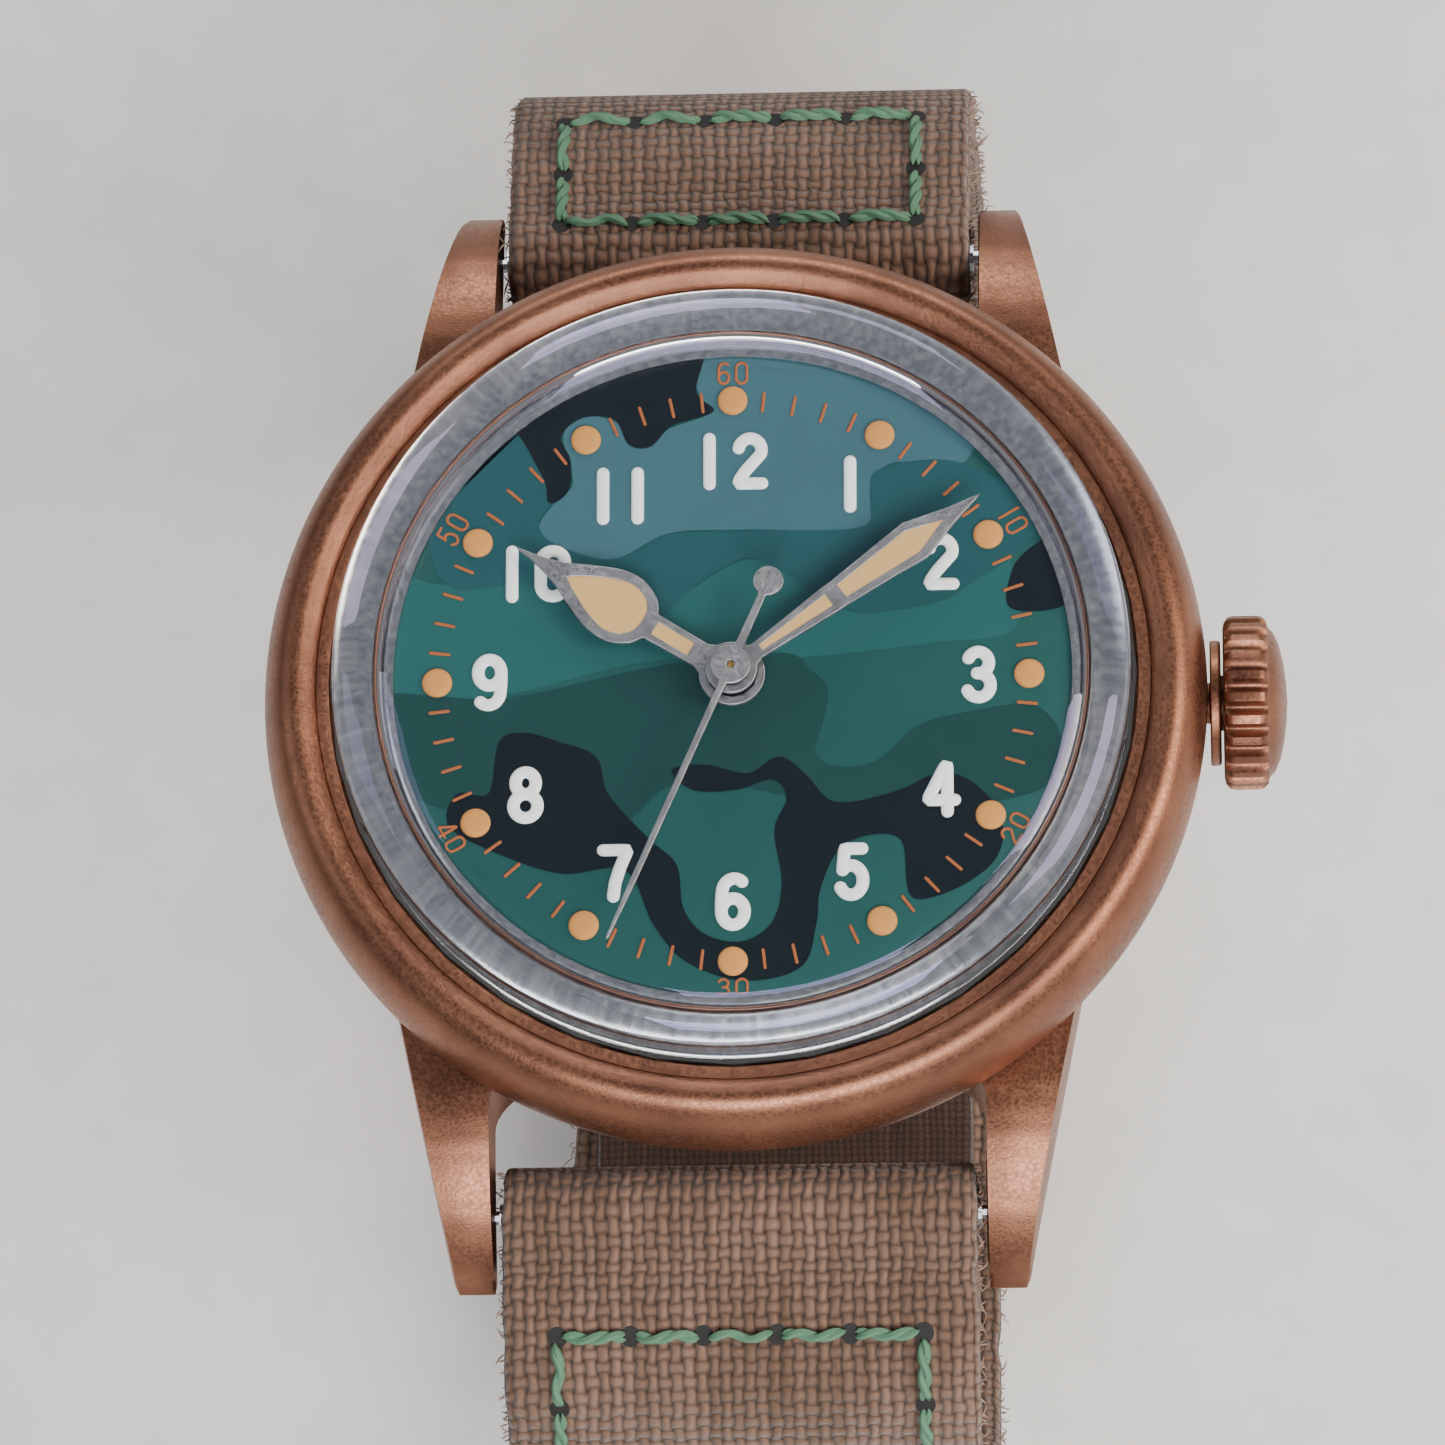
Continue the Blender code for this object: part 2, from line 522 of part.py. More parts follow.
def barrel_group():
    wall = BARREL_R - 0.3
    bore = 0.65 + FIT
    cup = [(wall, BARREL_LOW), (BARREL_R, BARREL_LOW), (BARREL_R, BARREL_TOP), (bore, BARREL_TOP),
           (bore, 4.9), (wall, 4.9)]
    barrel = turned("barrel", cup[::-1], BRASS, (*BARREL, 0), MEDIUM)
    size = module(BARREL_D, BARREL_TEETH, CENTRE_LEAVES)
    teeth = flat("barrel_teeth", [wheel_outline(BARREL_TEETH, size, BARREL_ANGLE + 180), circle(wall + 0.1)],
                 BARREL_TEETH_Z, BARREL_TEETH_Z + 0.4, at=BARREL, helper=True)
    join(barrel, teeth)
    ribbon("mainspring", BARREL, 0.95, wall - 0.25, 5, 3.85, 4.75, 0.14, STEEL, 12)
    profile = [(0, 5.9), (0.35, 5.9), (0.35, 5.3), (0.65, 5.3), (0.65, 3.4), (0.5, 3.4), (0.5, 1.45), (0, 1.45)]
    turned("barrel_arbor", profile, STEEL, (*BARREL, 0), SMALL)

    meeting = math.degrees(math.atan2(-BARREL[1], CROWN_WHEEL_X - BARREL[0]))
    size = module(WINDING_D, CROWN_TEETH, RATCHET_TEETH)
    flat("ratchet_wheel", [wheel_outline(RATCHET_TEETH, size, meeting), circle(0.5 + FIT, SMALL)],
         RATCHET_Z, RATCHET_Z + 0.25, STEEL, BARREL)
    gap = meeting + 180 + 180 / CROWN_TEETH
    crown_wheel = flat("crown_wheel", [wheel_outline(CROWN_TEETH, size, gap), circle(0.6, SMALL)],
                       RATCHET_Z, RATCHET_Z + 0.25, STEEL, CROWN_WHEEL)
    low = CROWN_Z - 1.1
    rim = [(1.35, low), (1.75, low), (1.75, RATCHET_Z + 0.1), (1.35, RATCHET_Z + 0.1)]
    join(crown_wheel, turned("crown_wheel_rim", rim[::-1], at=(*CROWN_WHEEL, 0), steps=MEDIUM, helper=True))
    tip_r = size * (RATCHET_TEETH / 2 + 0.9) + 0.12
    body = arc(0.6, 0, 280, 7, CLICK) + [on_circle(tip_r + 0.1, 86, BARREL), on_circle(tip_r, 76, BARREL),
                                         on_circle(tip_r + 0.5, 78, BARREL)]
    flat("click", [body, circle(0.3 + FIT, TINY, CLICK)], RATCHET_Z, RATCHET_Z + 0.25, STEEL)


def escapement():
    toward = FORK_ANGLE
    def point(along, across):
        u, v = math.cos(math.radians(toward)), math.sin(math.radians(toward))
        return (along * u - across * v, along * v + across * u)
    side = [(1.15, 0.0), (1.3, 0.22), (1.35, 0.32), (0.9, 0.16), (0.2, 0.2), (-0.1, 0.5), (-0.75, 1.95),
            (-1.15, 2.1), (-1.15, 1.95), (-0.9, 1.7), (-0.35, 0.25), (-0.3, 0.0)]
    outline = [point(*p) for p in side] + [point(a, -c) for a, c in reversed(side) if c > 0]
    fork = flat("pallet_fork", [outline], ESCAPE_Z, ESCAPE_Z + WHEEL_T, STEEL, FORK)
    join(fork, arbor("fork_arbor", 3.75, 5.9, FORK))
    outline = [circle(BALANCE_R, MEDIUM)] + windows(2, 0.6, BALANCE_R - 0.45, 0.7)
    balance = flat("balance_wheel", outline, 3.2, 3.5, BRASS, BALANCE)
    roller = rod("roller", 0.5, 4.0, 4.15, at=BALANCE, steps=SMALL, helper=True)
    pin = rod("impulse_pin", 0.08, 4.1, 4.45, at=on_circle(0.4, FORK_ANGLE + 180, BALANCE),
              steps=TINY, helper=True)
    join(balance, arbor("balance_staff", 2.0, 5.9, BALANCE), roller, pin)
    ribbon("hairspring", BALANCE, 0.35, 1.7, 4, 2.62, 2.8, 0.06, STEEL, 12)


def pillar_and_screw(plate, number, angle):
    """A bridge's pillar down to the mainplate, with its screw."""
    at = on_circle(PILLAR_AT_R, angle)
    join(plate, rod(f"pillar_{number}", PILLAR_R, BRIDGE_LOW + 0.2, PLATE_LOW - SEAM / 2, at=at, helper=True))
    cut(plate, rod(f"screw_hole_{number}", 0.4 + FIT, 1.0, 3.8, at=at, steps=TINY, helper=True))
    head = BRIDGE_LOW - FIT
    profile = [(0, 3.6), (0.4, 3.6), (0.4, head), (0.75, head), (0.75, head - 0.35), (0, head - 0.35)]
    screw = turned(f"bridge_screw_{number}", profile, STEEL, (*at, 0), SMALL)
    cut(screw, box(f"slot_{number}", (at[0] - 1, at[1] - 0.1, head - 0.5), (at[0] + 1, at[1] + 0.1, head - 0.2),
                   helper=True))


def plates():
    plate = flat("mainplate", [circle(PLATE_R, LARGE), circle(CENTRE_TUBE_R + FIT, SMALL)],
                 PLATE_LOW, PLATE_TOP, BRASS)
    join(plate, rod("minute_stud", 0.2, 6.4, 7.05, at=MOTION, steps=TINY, helper=True))
    for name, at, radius in (("third", THIRD, JEWEL_R), ("escape", ESCAPE, JEWEL_R), ("fork", FORK, JEWEL_R),
                             ("balance", BALANCE, JEWEL_R), ("barrel", BARREL, 0.42)):
        cut(plate, rod(f"{name}_jewel", radius, 5.0, 6.1, at=at, steps=TINY, helper=True))

    edge = arc(PLATE_R - 0.1, -38, 112, 14)
    outline = edge + [(-2.4, 3.0), (1.75, 1.3), (3.6, -2.6)]
    bridge = flat("barrel_bridge", [outline, circle(2.1, MEDIUM, CROWN_WHEEL), circle(0.6, SMALL, BARREL)],
                  BRIDGE_LOW, BRIDGE_TOP, NICKEL)
    join(bridge, rod("click_post", 0.3, RATCHET_Z - 0.05, 2.0, at=CLICK,
                     steps=TINY, helper=True))
    pillar_and_screw(bridge, 1, 62)
    join(bridge, rod("pillar_0", PILLAR_R, BRIDGE_LOW + 0.2, PLATE_LOW - SEAM / 2,
                     at=on_circle(PILLAR_AT_R, -30), helper=True))

    edge = arc(PLATE_R - 0.1, 118, 186, 7)
    outline = edge + [(-3.6, -2.2), (-2.2, -5.0), (0.8, -5.2), (2.6, -3.0), (0.9, 0.8), (-3.2, 3.0)]
    holes = [circle(JEWEL_R, TINY, at) for at in (THIRD, ESCAPE)] + [circle(SWEEP_R + FIT, TINY)]
    bridge = flat("train_bridge", [outline] + holes, BRIDGE_LOW, BRIDGE_TOP, NICKEL)
    pillar_and_screw(bridge, 2, 150)

    edge = arc(PLATE_R - 0.1, 205, 240, 4)
    outline = edge + arc(1.0, 300, 480, 8, BALANCE)
    cock = flat("balance_cock", [outline, circle(JEWEL_R, TINY, BALANCE)], BRIDGE_LOW, BRIDGE_TOP, NICKEL)
    pillar_and_screw(cock, 3, 229)


# ---- crown, stem and keyless works ----

def crown_and_stem():
    tooth = 360 / FLUTES
    outline = []
    for i in range(FLUTES):
        outline += [on_circle(CROWN_R, i * tooth + turn * tooth) for turn in (-0.28, 0.28)]
        outline.append(on_circle(CROWN_R - FLUTE_DEPTH, (i + 0.5) * tooth))
    crown = flat("crown", [outline], CROWN_IN, CROWN_OUT, BRONZE)
    crown.rotation_euler = (0, math.pi / 2, 0)
    crown.location = (0, 0, CROWN_Z * MM)
    dome_r = CROWN_R - FLUTE_DEPTH - 0.1
    dome = [(0, CROWN_DOME), (dome_r * 0.6, CROWN_DOME - 0.2), (dome_r, CROWN_OUT + 0.1), (dome_r, CROWN_OUT - 0.3),
            (0, CROWN_OUT - 0.3)]
    join(crown, turned("crown_dome", dome, at=(0, 0, CROWN_Z), steps=MEDIUM, along="X", helper=True))
    cut(crown, rod("crown_bore", CROWN_BORE_R, 19.0, CROWN_BORE_OUT, at=(0, CROWN_Z), steps=MEDIUM,
                   along="X", helper=True))
    cut(crown, rod("stem_socket", STEM_R + FIT, 20.0, 22.0, at=(0, CROWN_Z), along="X", helper=True))

    profile = [
        (0, 21.9), (STEM_R, 21.9), (STEM_R, STEM_THIN_END), (STEM_THIN_R, STEM_THIN_END),
        (STEM_THIN_R, GROOVE_OUT), (GROOVE_R, GROOVE_OUT), (GROOVE_R, GROOVE_IN),
        (STEM_THIN_R, GROOVE_IN), (STEM_THIN_R, STEM_IN), (0, STEM_IN),
    ]
    turned("stem", profile, STEEL, (0, 0, CROWN_Z), SMALL, "X")
    collar_out, neck_out = CROWN_IN - SEAM, 20.95
    tube = [
        (TUBE_BORE_R, neck_out), (TUBE_NECK_R, neck_out), (TUBE_NECK_R, collar_out),
        (TUBE_COLLAR_R, collar_out), (TUBE_COLLAR_R, BEZEL_R + SEAM), (TUBE_R, BEZEL_R + SEAM),
        (TUBE_R, CASE_BORE_R + 0.3), (TUBE_BORE_R, CASE_BORE_R + 0.3),
    ]
    turned("crown_tube", tube, BRONZE, (0, 0, CROWN_Z), MEDIUM, "X")
    in_r, out_r = TUBE_NECK_R + FIT, CROWN_BORE_R - FIT
    ring = [(in_r, 20.75), (out_r, 20.75), (out_r, 20.3), (in_r, 20.3)]
    turned("crown_gasket", ring, RUBBER, (0, 0, CROWN_Z), MEDIUM, "X")

    bore = STEM_THIN_R + FIT
    pinion = flat("winding_pinion", [pinion_outline(WINDING_LEAVES, 0.155, 0), circle(bore, TINY)], PINION_IN, PINION_OUT, STEEL)
    clutch = flat("sliding_clutch", [pinion_outline(WINDING_LEAVES, 0.12, 0), circle(bore, TINY)], CLUTCH_IN, CLUTCH_OUT, STEEL)
    for gear in (pinion, clutch):
        gear.rotation_euler = (0, math.pi / 2, 0)
        gear.location = (0, 0, CROWN_Z * MM)

    lever = flat("setting_lever", [arc(0.55, 150, 390, 8, LEVER_PIVOT)
                                   + arc(0.19, 20, 170, 4, LEVER_PIN), circle(0.25, TINY, LEVER_PIVOT)],
                 4.6, 4.85, STEEL)
    join(lever, rod("lever_pin", 0.12, 3.8, 4.7, at=LEVER_PIN, steps=TINY, helper=True))


# ---- strap ----

def smooth_line(points, spacing=2.2):
    """Points at an even spacing along a Catmull-Rom curve through the given ones."""
    dense = []
    padded = [points[0]] + points + [points[-1]]
    for a, b, c, d in zip(padded, padded[1:], padded[2:], padded[3:]):
        for step in range(12):
            t = step / 12
            dense.append(tuple(
                0.5 * (2 * q + (r - p) * t + (2 * p - 5 * q + 4 * r - s) * t * t
                       + (3 * q - p - 3 * r + s) * t**3)
                for p, q, r, s in zip(a, b, c, d)))
    dense.append(points[-1])
    line, walked = [dense[0]], 0.0
    for start, end in zip(dense, dense[1:]):
        walked += math.dist(start, end)
        if walked >= spacing:
            line.append(end)
            walked = 0.0
    if math.dist(line[-1], dense[-1]) < spacing / 2:
        line.pop()
    return line + [dense[-1]]


def offset(line, distance):
    """The line moved to its left-hand side, seen with its first axis to the right."""
    moved = []
    for i, (y, z) in enumerate(line):
        before, after = line[max(i - 1, 0)], line[min(i + 1, len(line) - 1)]
        dy, dz = after[0] - before[0], after[1] - before[1]
        size = math.hypot(dy, dz)
        moved.append((y - dz / size * distance, z + dy / size * distance))
    return moved


def band(name, line, width, thickness, finish):
    """A strip of even thickness whose middle follows a line in the YZ plane."""
    shape = bmesh.new()
    corners = [shape.verts.new((-width / 2 * MM, y * MM, z * MM)) for y, z in line]
    edges = [shape.edges.new(pair) for pair in zip(corners, corners[1:])]
    grown = bmesh.ops.extrude_edge_only(shape, edges=edges)["geom"]
    moved = [item for item in grown if isinstance(item, bmesh.types.BMVert)]
    bmesh.ops.translate(shape, verts=moved, vec=(width * MM, 0, 0))
    mesh = bpy.data.meshes.new(name)
    shape.to_mesh(mesh)
    shape.free()
    made = place(name, mesh, finish)
    shell = made.modifiers.new("thickness", "SOLIDIFY")
    shell.thickness = thickness * MM
    shell.offset = 0.0
    shell.use_even_offset = True
    return made


CANVAS_OFF = SEAM / 2 + CANVAS_T / 2
LINING_OFF = SEAM / 2 + LINING_T / 2
BAR_FOLD_R = BAR_R + SEAM + CANVAS_T / 2
PIN_FOLD_R = PIN_R + SEAM + CANVAS_T / 2
SHORT_LINE = smooth_line([
    (23.4, 1.4), (25.6, 0.9), (27.9, -0.6), (29.5, -3.6), (30.7, -8.0), (31.8, -14.0), (32.8, -21.0),
    (32.9, -28.0), (31.6, -34.5), (28.6, -39.0), (24.3, PIN_Z), (PIN_Y + 10.0, PIN_Z), (PIN_Y + 2.6, PIN_Z),
])
LONG_START = [
    (-23.4, 1.4), (-25.6, 0.9), (-27.9, -0.6), (-29.5, -3.6), (-30.3, -8.0), (-30.5, -13.0), (-29.4, -20.0),
    (-26.6, -28.0), (-22.0, -35.0), (-17.0, -39.0), (-11.0, -40.9), (PIN_Y - 11.0, -41.4),
    (PIN_Y - 7.0, -42.3), (PIN_Y - 3.2, -43.7), (PIN_Y, -44.5),
]
TAIL = [(y, z) for y, z in offset(SHORT_LINE, TAIL_GAP) if z < -36.0 and y > PIN_Y + 5.0][::-1]
LONG_LINE = smooth_line(LONG_START + TAIL)


def fold(centre, radius, start, end):
    return arc(radius, start, end, 7, centre)


def walked_past(line, distance):
    """How many points lie within a distance along the line."""
    walked, count = 0.0, 1
    for a, b in zip(line, line[1:]):
        walked += math.dist(a, b)
        if walked > distance:
            break
        count += 1
    return count


def strap_short():
    outer, inner = offset(SHORT_LINE, CANVAS_OFF), offset(SHORT_LINE, -CANVAS_OFF)
    n = walked_past(SHORT_LINE, FLAP)
    m = walked_past(SHORT_LINE[::-1], FLAP)
    route = inner[:n][::-1] + fold((BAR_Y, BAR_Z), BAR_FOLD_R, 290, 70)
    route += outer + fold((PIN_Y, PIN_Z), PIN_FOLD_R, -70, -290) + inner[-m:][::-1]
    canvas = band("strap_twelve_canvas", route, STRAP_W, CANVAS_T, CANVAS)
    cut(canvas, box("tongue_slot", (-1.4, PIN_Y - 3.5, PIN_Z - 3.5), (1.4, PIN_Y + 2.9, PIN_Z + 3.5), helper=True))
    lining = offset(SHORT_LINE, -LINING_OFF)[n:-m]
    band("strap_twelve_lining", lining, LINING_W, LINING_T, LEATHER)


def strap_long():
    outer, inner = offset(LONG_LINE, -CANVAS_OFF), offset(LONG_LINE, CANVAS_OFF)
    n = walked_past(LONG_LINE, FLAP)
    route = inner[:n][::-1] + fold((-BAR_Y, BAR_Z), BAR_FOLD_R, -110, 110) + outer
    canvas = band("strap_six_canvas", route, STRAP_W, CANVAS_T, CANVAS)
    lining = band("strap_six_lining", offset(LONG_LINE, LINING_OFF)[n:], LINING_W, LINING_T, LEATHER)
    for name, piece in (("canvas", canvas), ("lining", lining)):
        cut(piece, box(f"{name}_eyelet", (-1.2, PIN_Y - 8.5, -50.0), (1.2, PIN_Y + 0.1, -38.0), helper=True))


def buckle():
    x, near, far = FRAME_X, PIN_Y + 1.4, FAR_BAR_Y
    low = FAR_BAR_Z
    route = [(-x, near, PIN_Z), (-x, PIN_Y - 3, PIN_Z - 0.5), (-x, far + 2, low), (-x + 1.6, far + 0.3, low),
             (-x + 3, far, low), (x - 3, far, low), (x - 1.6, far + 0.3, low), (x, far + 2, low),
             (x, PIN_Y - 3, PIN_Z - 0.5), (x, near, PIN_Z)]
    frame = wire("buckle_frame", route, FRAME_R, BRONZE)
    hole = rod("pin_hole", PIN_R / 2 + FIT, -x - 3, x + 3, at=(PIN_Y, PIN_Z), steps=TINY, along="X", helper=True)
    cut(frame, hole)
    half = FRAME_X - FRAME_R - 0.2
    profile = [(0, x + 0.8), (PIN_R / 2, x + 0.8), (PIN_R / 2, half), (PIN_R, half), (PIN_R, -half),
               (PIN_R / 2, -half), (PIN_R / 2, -x - 0.8), (0, -x - 0.8)]
    turned("buckle_pin", profile, STEEL, (0, PIN_Y, PIN_Z), SMALL, "X")
    start = (0, PIN_Y - PIN_R - 0.5, PIN_Z - 0.4)
    route = [start, (0, PIN_Y - 4.0, -42.9), (0, PIN_Y - 7.5, -44.6), (0, FAR_BAR_Y, FAR_BAR_Z - FRAME_R - 0.75),
             (0, FAR_BAR_Y - 1.6, FAR_BAR_Z - FRAME_R - 0.5)]
    tongue = wire("buckle_tongue", route, 0.6, BRONZE)
    bore = PIN_R + FIT
    eye = [(bore, 1.0), (PIN_R + 0.9, 1.0), (PIN_R + 0.9, -1.0), (bore, -1.0)]
    join(tongue, turned("tongue_eye", eye, at=(0, PIN_Y, PIN_Z), steps=SMALL, along="X", helper=True))


def keepers():
    """Loops of the strap's canvas round both halves: one stitched, one that slides."""
    for name, y in (("fixed_keeper", PIN_Y + 4.6), ("sliding_keeper", PIN_Y + 9.4)):
        outer_x, high, low = STRAP_W / 2 + 0.3 + KEEPER_T, PIN_Z + 2.3, PIN_Z - 5.9
        loop = box(name, (-outer_x, y, low), (outer_x, y + KEEPER_W, high), CANVAS)
        cut(loop, box(f"{name}_inside", (-outer_x + KEEPER_T, y - 1, low + KEEPER_T),
                      (outer_x - KEEPER_T, y + KEEPER_W + 1, high - KEEPER_T), helper=True))


def spring_bars():
    tube_end, tip_in = 8.7, 7.0
    for name, y in (("twelve", BAR_Y), ("six", -BAR_Y)):
        at = (0, y, BAR_Z)
        bore = BAR_TIP_R + FIT
        tube = [(bore, tube_end), (BAR_R, tube_end), (BAR_R, -tube_end), (bore, -tube_end)]
        turned(f"spring_bar_{name}", tube, STEEL, at, SMALL, "X")
        for side, sign in (("left", -1), ("right", 1)):
            end = LUG_IN + BAR_TIP_OUT
            profile = [(0, end), (BAR_TIP_R - 0.1, end), (BAR_TIP_R - 0.1, 9.9), (BAR_TIP_R + 0.2, 9.9),
                       (BAR_TIP_R + 0.2, 9.65), (BAR_TIP_R, 9.65), (BAR_TIP_R, tip_in), (0, tip_in)]
            if sign < 0:
                profile = [(r, -x) for r, x in reversed(profile)]
            turned(f"bar_tip_{name}_{side}", profile, STEEL, at, TINY, "X")


case_middle()
bezel()
crystal_and_seals()
dial_and_ring()
caseback()
hands()
motion_works()
going_train()
barrel_group()
escapement()
plates()
crown_and_stem()
spring_bars()
strap_short()
strap_long()
buckle()
keepers()
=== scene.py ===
"""Looks of a hand-wound bronze wristwatch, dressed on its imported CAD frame.

Every length in this file is in millimetres until it reaches a mesh. +Z leaves the dial,
+Y points to 12 o'clock and +X to the crown, as in the frame.
"""

import bmesh
import bpy
import numpy as np
from mathutils import Matrix, Vector


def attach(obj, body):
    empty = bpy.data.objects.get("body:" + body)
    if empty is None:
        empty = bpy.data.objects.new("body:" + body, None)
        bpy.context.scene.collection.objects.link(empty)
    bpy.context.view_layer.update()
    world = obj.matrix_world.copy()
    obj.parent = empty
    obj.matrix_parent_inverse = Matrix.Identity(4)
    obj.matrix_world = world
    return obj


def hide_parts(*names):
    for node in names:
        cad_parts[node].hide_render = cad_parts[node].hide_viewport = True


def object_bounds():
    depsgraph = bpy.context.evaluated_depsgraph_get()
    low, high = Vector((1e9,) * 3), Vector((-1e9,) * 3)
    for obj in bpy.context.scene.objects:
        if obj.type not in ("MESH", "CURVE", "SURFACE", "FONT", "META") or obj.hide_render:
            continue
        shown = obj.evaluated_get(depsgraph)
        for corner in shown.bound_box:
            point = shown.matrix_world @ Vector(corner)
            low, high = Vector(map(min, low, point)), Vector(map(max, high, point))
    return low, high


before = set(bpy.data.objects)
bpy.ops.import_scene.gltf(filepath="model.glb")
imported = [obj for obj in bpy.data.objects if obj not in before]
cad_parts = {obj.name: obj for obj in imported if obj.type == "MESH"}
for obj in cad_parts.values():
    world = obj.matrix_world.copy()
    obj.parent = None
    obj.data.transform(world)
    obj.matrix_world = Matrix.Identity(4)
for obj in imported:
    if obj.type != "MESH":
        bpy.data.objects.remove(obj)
cad_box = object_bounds()

# ---- bronze case ----
# The case middle, its four lugs and the bezel are turned and milled from aluminium bronze,
# then blasted with glass beads. The bezel snaps over a step at the top of the case.

MM = 0.001
rng = np.random.default_rng(7)


def solid(name, points, material, body="head", around=True, closed=False, uv=None, angle=38.0):
    """One object from a stack of grids. points is (k, m, n, 3) or (m, n, 3): each point joins the next along
    m and n, the last of n joins the first if around, and the last of m the first if closed. Points that
    coincide are merged, so a ring of no size is a closed pole. uv, if given, is (k, m, n, 2)."""
    points = np.asarray(points, float)
    points = points if points.ndim == 4 else points[None]
    k, m, n, _ = points.shape
    rows = np.arange(m if closed else m - 1)
    columns = np.arange(n if around else n - 1)
    row, column = (g.ravel() for g in np.meshgrid(rows, columns, indexing="ij"))
    corners = np.stack([row * n + column, row * n + (column + 1) % n,
                        (row + 1) % m * n + (column + 1) % n, (row + 1) % m * n + column], axis=1)
    faces = (corners[None] + (np.arange(k) * m * n)[:, None, None]).reshape(-1, 4)
    mesh = bpy.data.meshes.new(name)
    mesh.from_pydata(points.reshape(-1, 3) * MM, [], faces)
    if uv is not None:
        uv = np.asarray(uv, float).reshape(k, m, n, 2)
        across, run = uv[..., 0], uv[..., 1]
        wide = np.diff(across, axis=2).mean() if n > 1 else 0.0
        u = np.where(column + 1 == n, across[:, :, -1:].max() + wide, 0.0)
        flat_u, flat_v = across.reshape(-1), run.reshape(-1)
        face_u = flat_u[faces]
        turn = np.tile(u, k) > 0
        face_u[turn, 1] = face_u[turn, 2] = face_u[turn, 0] + wide
        layer = mesh.uv_layers.new(name="weave")
        layer.data.foreach_set("uv", np.stack([face_u, flat_v[faces]], axis=-1).astype(np.float32).ravel())
    shape = bmesh.new()
    shape.from_mesh(mesh)
    bmesh.ops.remove_doubles(shape, verts=shape.verts, dist=1e-7)
    bmesh.ops.recalc_face_normals(shape, faces=shape.faces)
    shape.to_mesh(mesh)
    shape.free()
    mesh.shade_smooth()
    mesh.set_sharp_from_angle(angle=np.radians(angle))
    made = bpy.data.objects.new(name, mesh)
    bpy.context.scene.collection.objects.link(made)
    mesh.materials.append(material)
    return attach(made, body) if body else made


def eased(corners, radius, steps=5):
    """A closed outline whose corners are parabolas: each leaves its side at radius from the corner, or at
    0.45 of the side where that is shorter. radius is one number or one for each corner."""
    corner = np.asarray(corners, float)
    before, after = np.roll(corner, 1, 0) - corner, np.roll(corner, -1, 0) - corner
    radius = np.broadcast_to(radius, len(corner))
    starts, ends = (
        side / np.linalg.norm(side, axis=1)[:, None]
        * np.minimum(radius, 0.45 * np.linalg.norm(side, axis=1))[:, None]
        for side in (before, after)
    )
    t = np.linspace(0, 1, steps)[None, :, None]
    points = corner[:, None] + (1 - t) ** 2 * starts[:, None] + t**2 * ends[:, None]
    return points.reshape(-1, 2)


def turned(profile, steps=192, along="Z", at=(0.0, 0.0, 0.0)):
    """The grid that a closed profile of (radius, height) points sweeps in a turn about an axis through at."""
    turn = np.linspace(0, 2 * np.pi, steps, endpoint=False)
    radius, height = np.asarray(profile, float).T
    grid = np.stack([radius * np.cos(turn)[:, None], radius * np.sin(turn)[:, None],
                     np.broadcast_to(height, (steps, len(height)))], axis=-1)
    if along == "X":
        grid = grid[..., [2, 0, 1]]
    return grid + np.asarray(at)


def hexed(text):
    """An sRGB hex colour as linear light, with alpha."""
    value = np.array([int(text[i:i + 2], 16) for i in (1, 3, 5)]) / 255
    linear = np.where(value <= 0.04045, value / 12.92, ((value + 0.055) / 1.055) ** 2.4)
    return (*linear, 1.0)


def add(tree, kind, *links, **settings):
    """A node of that kind. A setting is an input's value if the node has that input, with _ for a space, or
    else the node's own property. A link is (input name or number, output socket)."""
    made = tree.nodes.new("ShaderNode" + kind)
    for key, value in settings.items():
        name = key.replace("_", " ")
        if name in made.inputs:
            made.inputs[name].default_value = value
        else:
            setattr(made, key, value)
    for name, output in links:
        tree.links.new(output, made.inputs[name])
    return made


def finish(name, **settings):
    """A material with one Principled shader that has these settings, its node tree and that shader."""
    made = bpy.data.materials.new(name)
    made.use_nodes = True
    shader = made.node_tree.nodes["Principled BSDF"]
    for key, value in settings.items():
        shader.inputs[key.replace("_", " ")].default_value = value
    return made, made.node_tree, shader


def blasted(name, light, dark, grit, roughness, patch=4.0):
    """Bead-blasted metal: pits of the grit's size break the gloss into a sparkle, and a faint patina drifts
    between two colours over patches a few millimetres wide. The pits are drawn twice as coarse as real."""
    made, tree, shader = finish(name, Metallic=1.0)
    place = add(tree, "TexCoord").outputs["Object"]
    drift = add(tree, "TexNoise", ("Vector", place), Scale=1 / (patch * MM), Detail=4.0, Roughness=0.6)
    tone = add(tree, "ValToRGB", ("Fac", drift.outputs["Fac"]))
    tone.color_ramp.elements[0].position, tone.color_ramp.elements[1].position = 0.38, 0.66
    tone.color_ramp.elements[0].color, tone.color_ramp.elements[1].color = hexed(dark), hexed(light)
    pits = add(tree, "TexNoise", ("Vector", place), Scale=1 / (grit * MM), Detail=2.0, Roughness=0.55)
    facet = add(tree, "TexVoronoi", ("Vector", place), Scale=1 / (grit * 1.6 * MM))
    gloss = add(tree, "MapRange", ("Value", facet.outputs["Distance"]), To_Min=roughness - 0.1,
                To_Max=roughness + 0.14)
    relief = add(tree, "Bump", ("Height", pits.outputs["Fac"]), Strength=0.32, Distance=grit * 0.3 * MM)
    tree.links.new(tone.outputs["Color"], shader.inputs["Base Color"])
    tree.links.new(gloss.outputs["Result"], shader.inputs["Roughness"])
    tree.links.new(relief.outputs["Normal"], shader.inputs["Normal"])
    return made


# Aluminium bronze, blasted: a soft rose gold that glitters only where a lamp is mirrored.
blasted_bronze = blasted("blasted aluminium bronze", "#93664f", "#7c5443", grit=0.11, roughness=0.42)

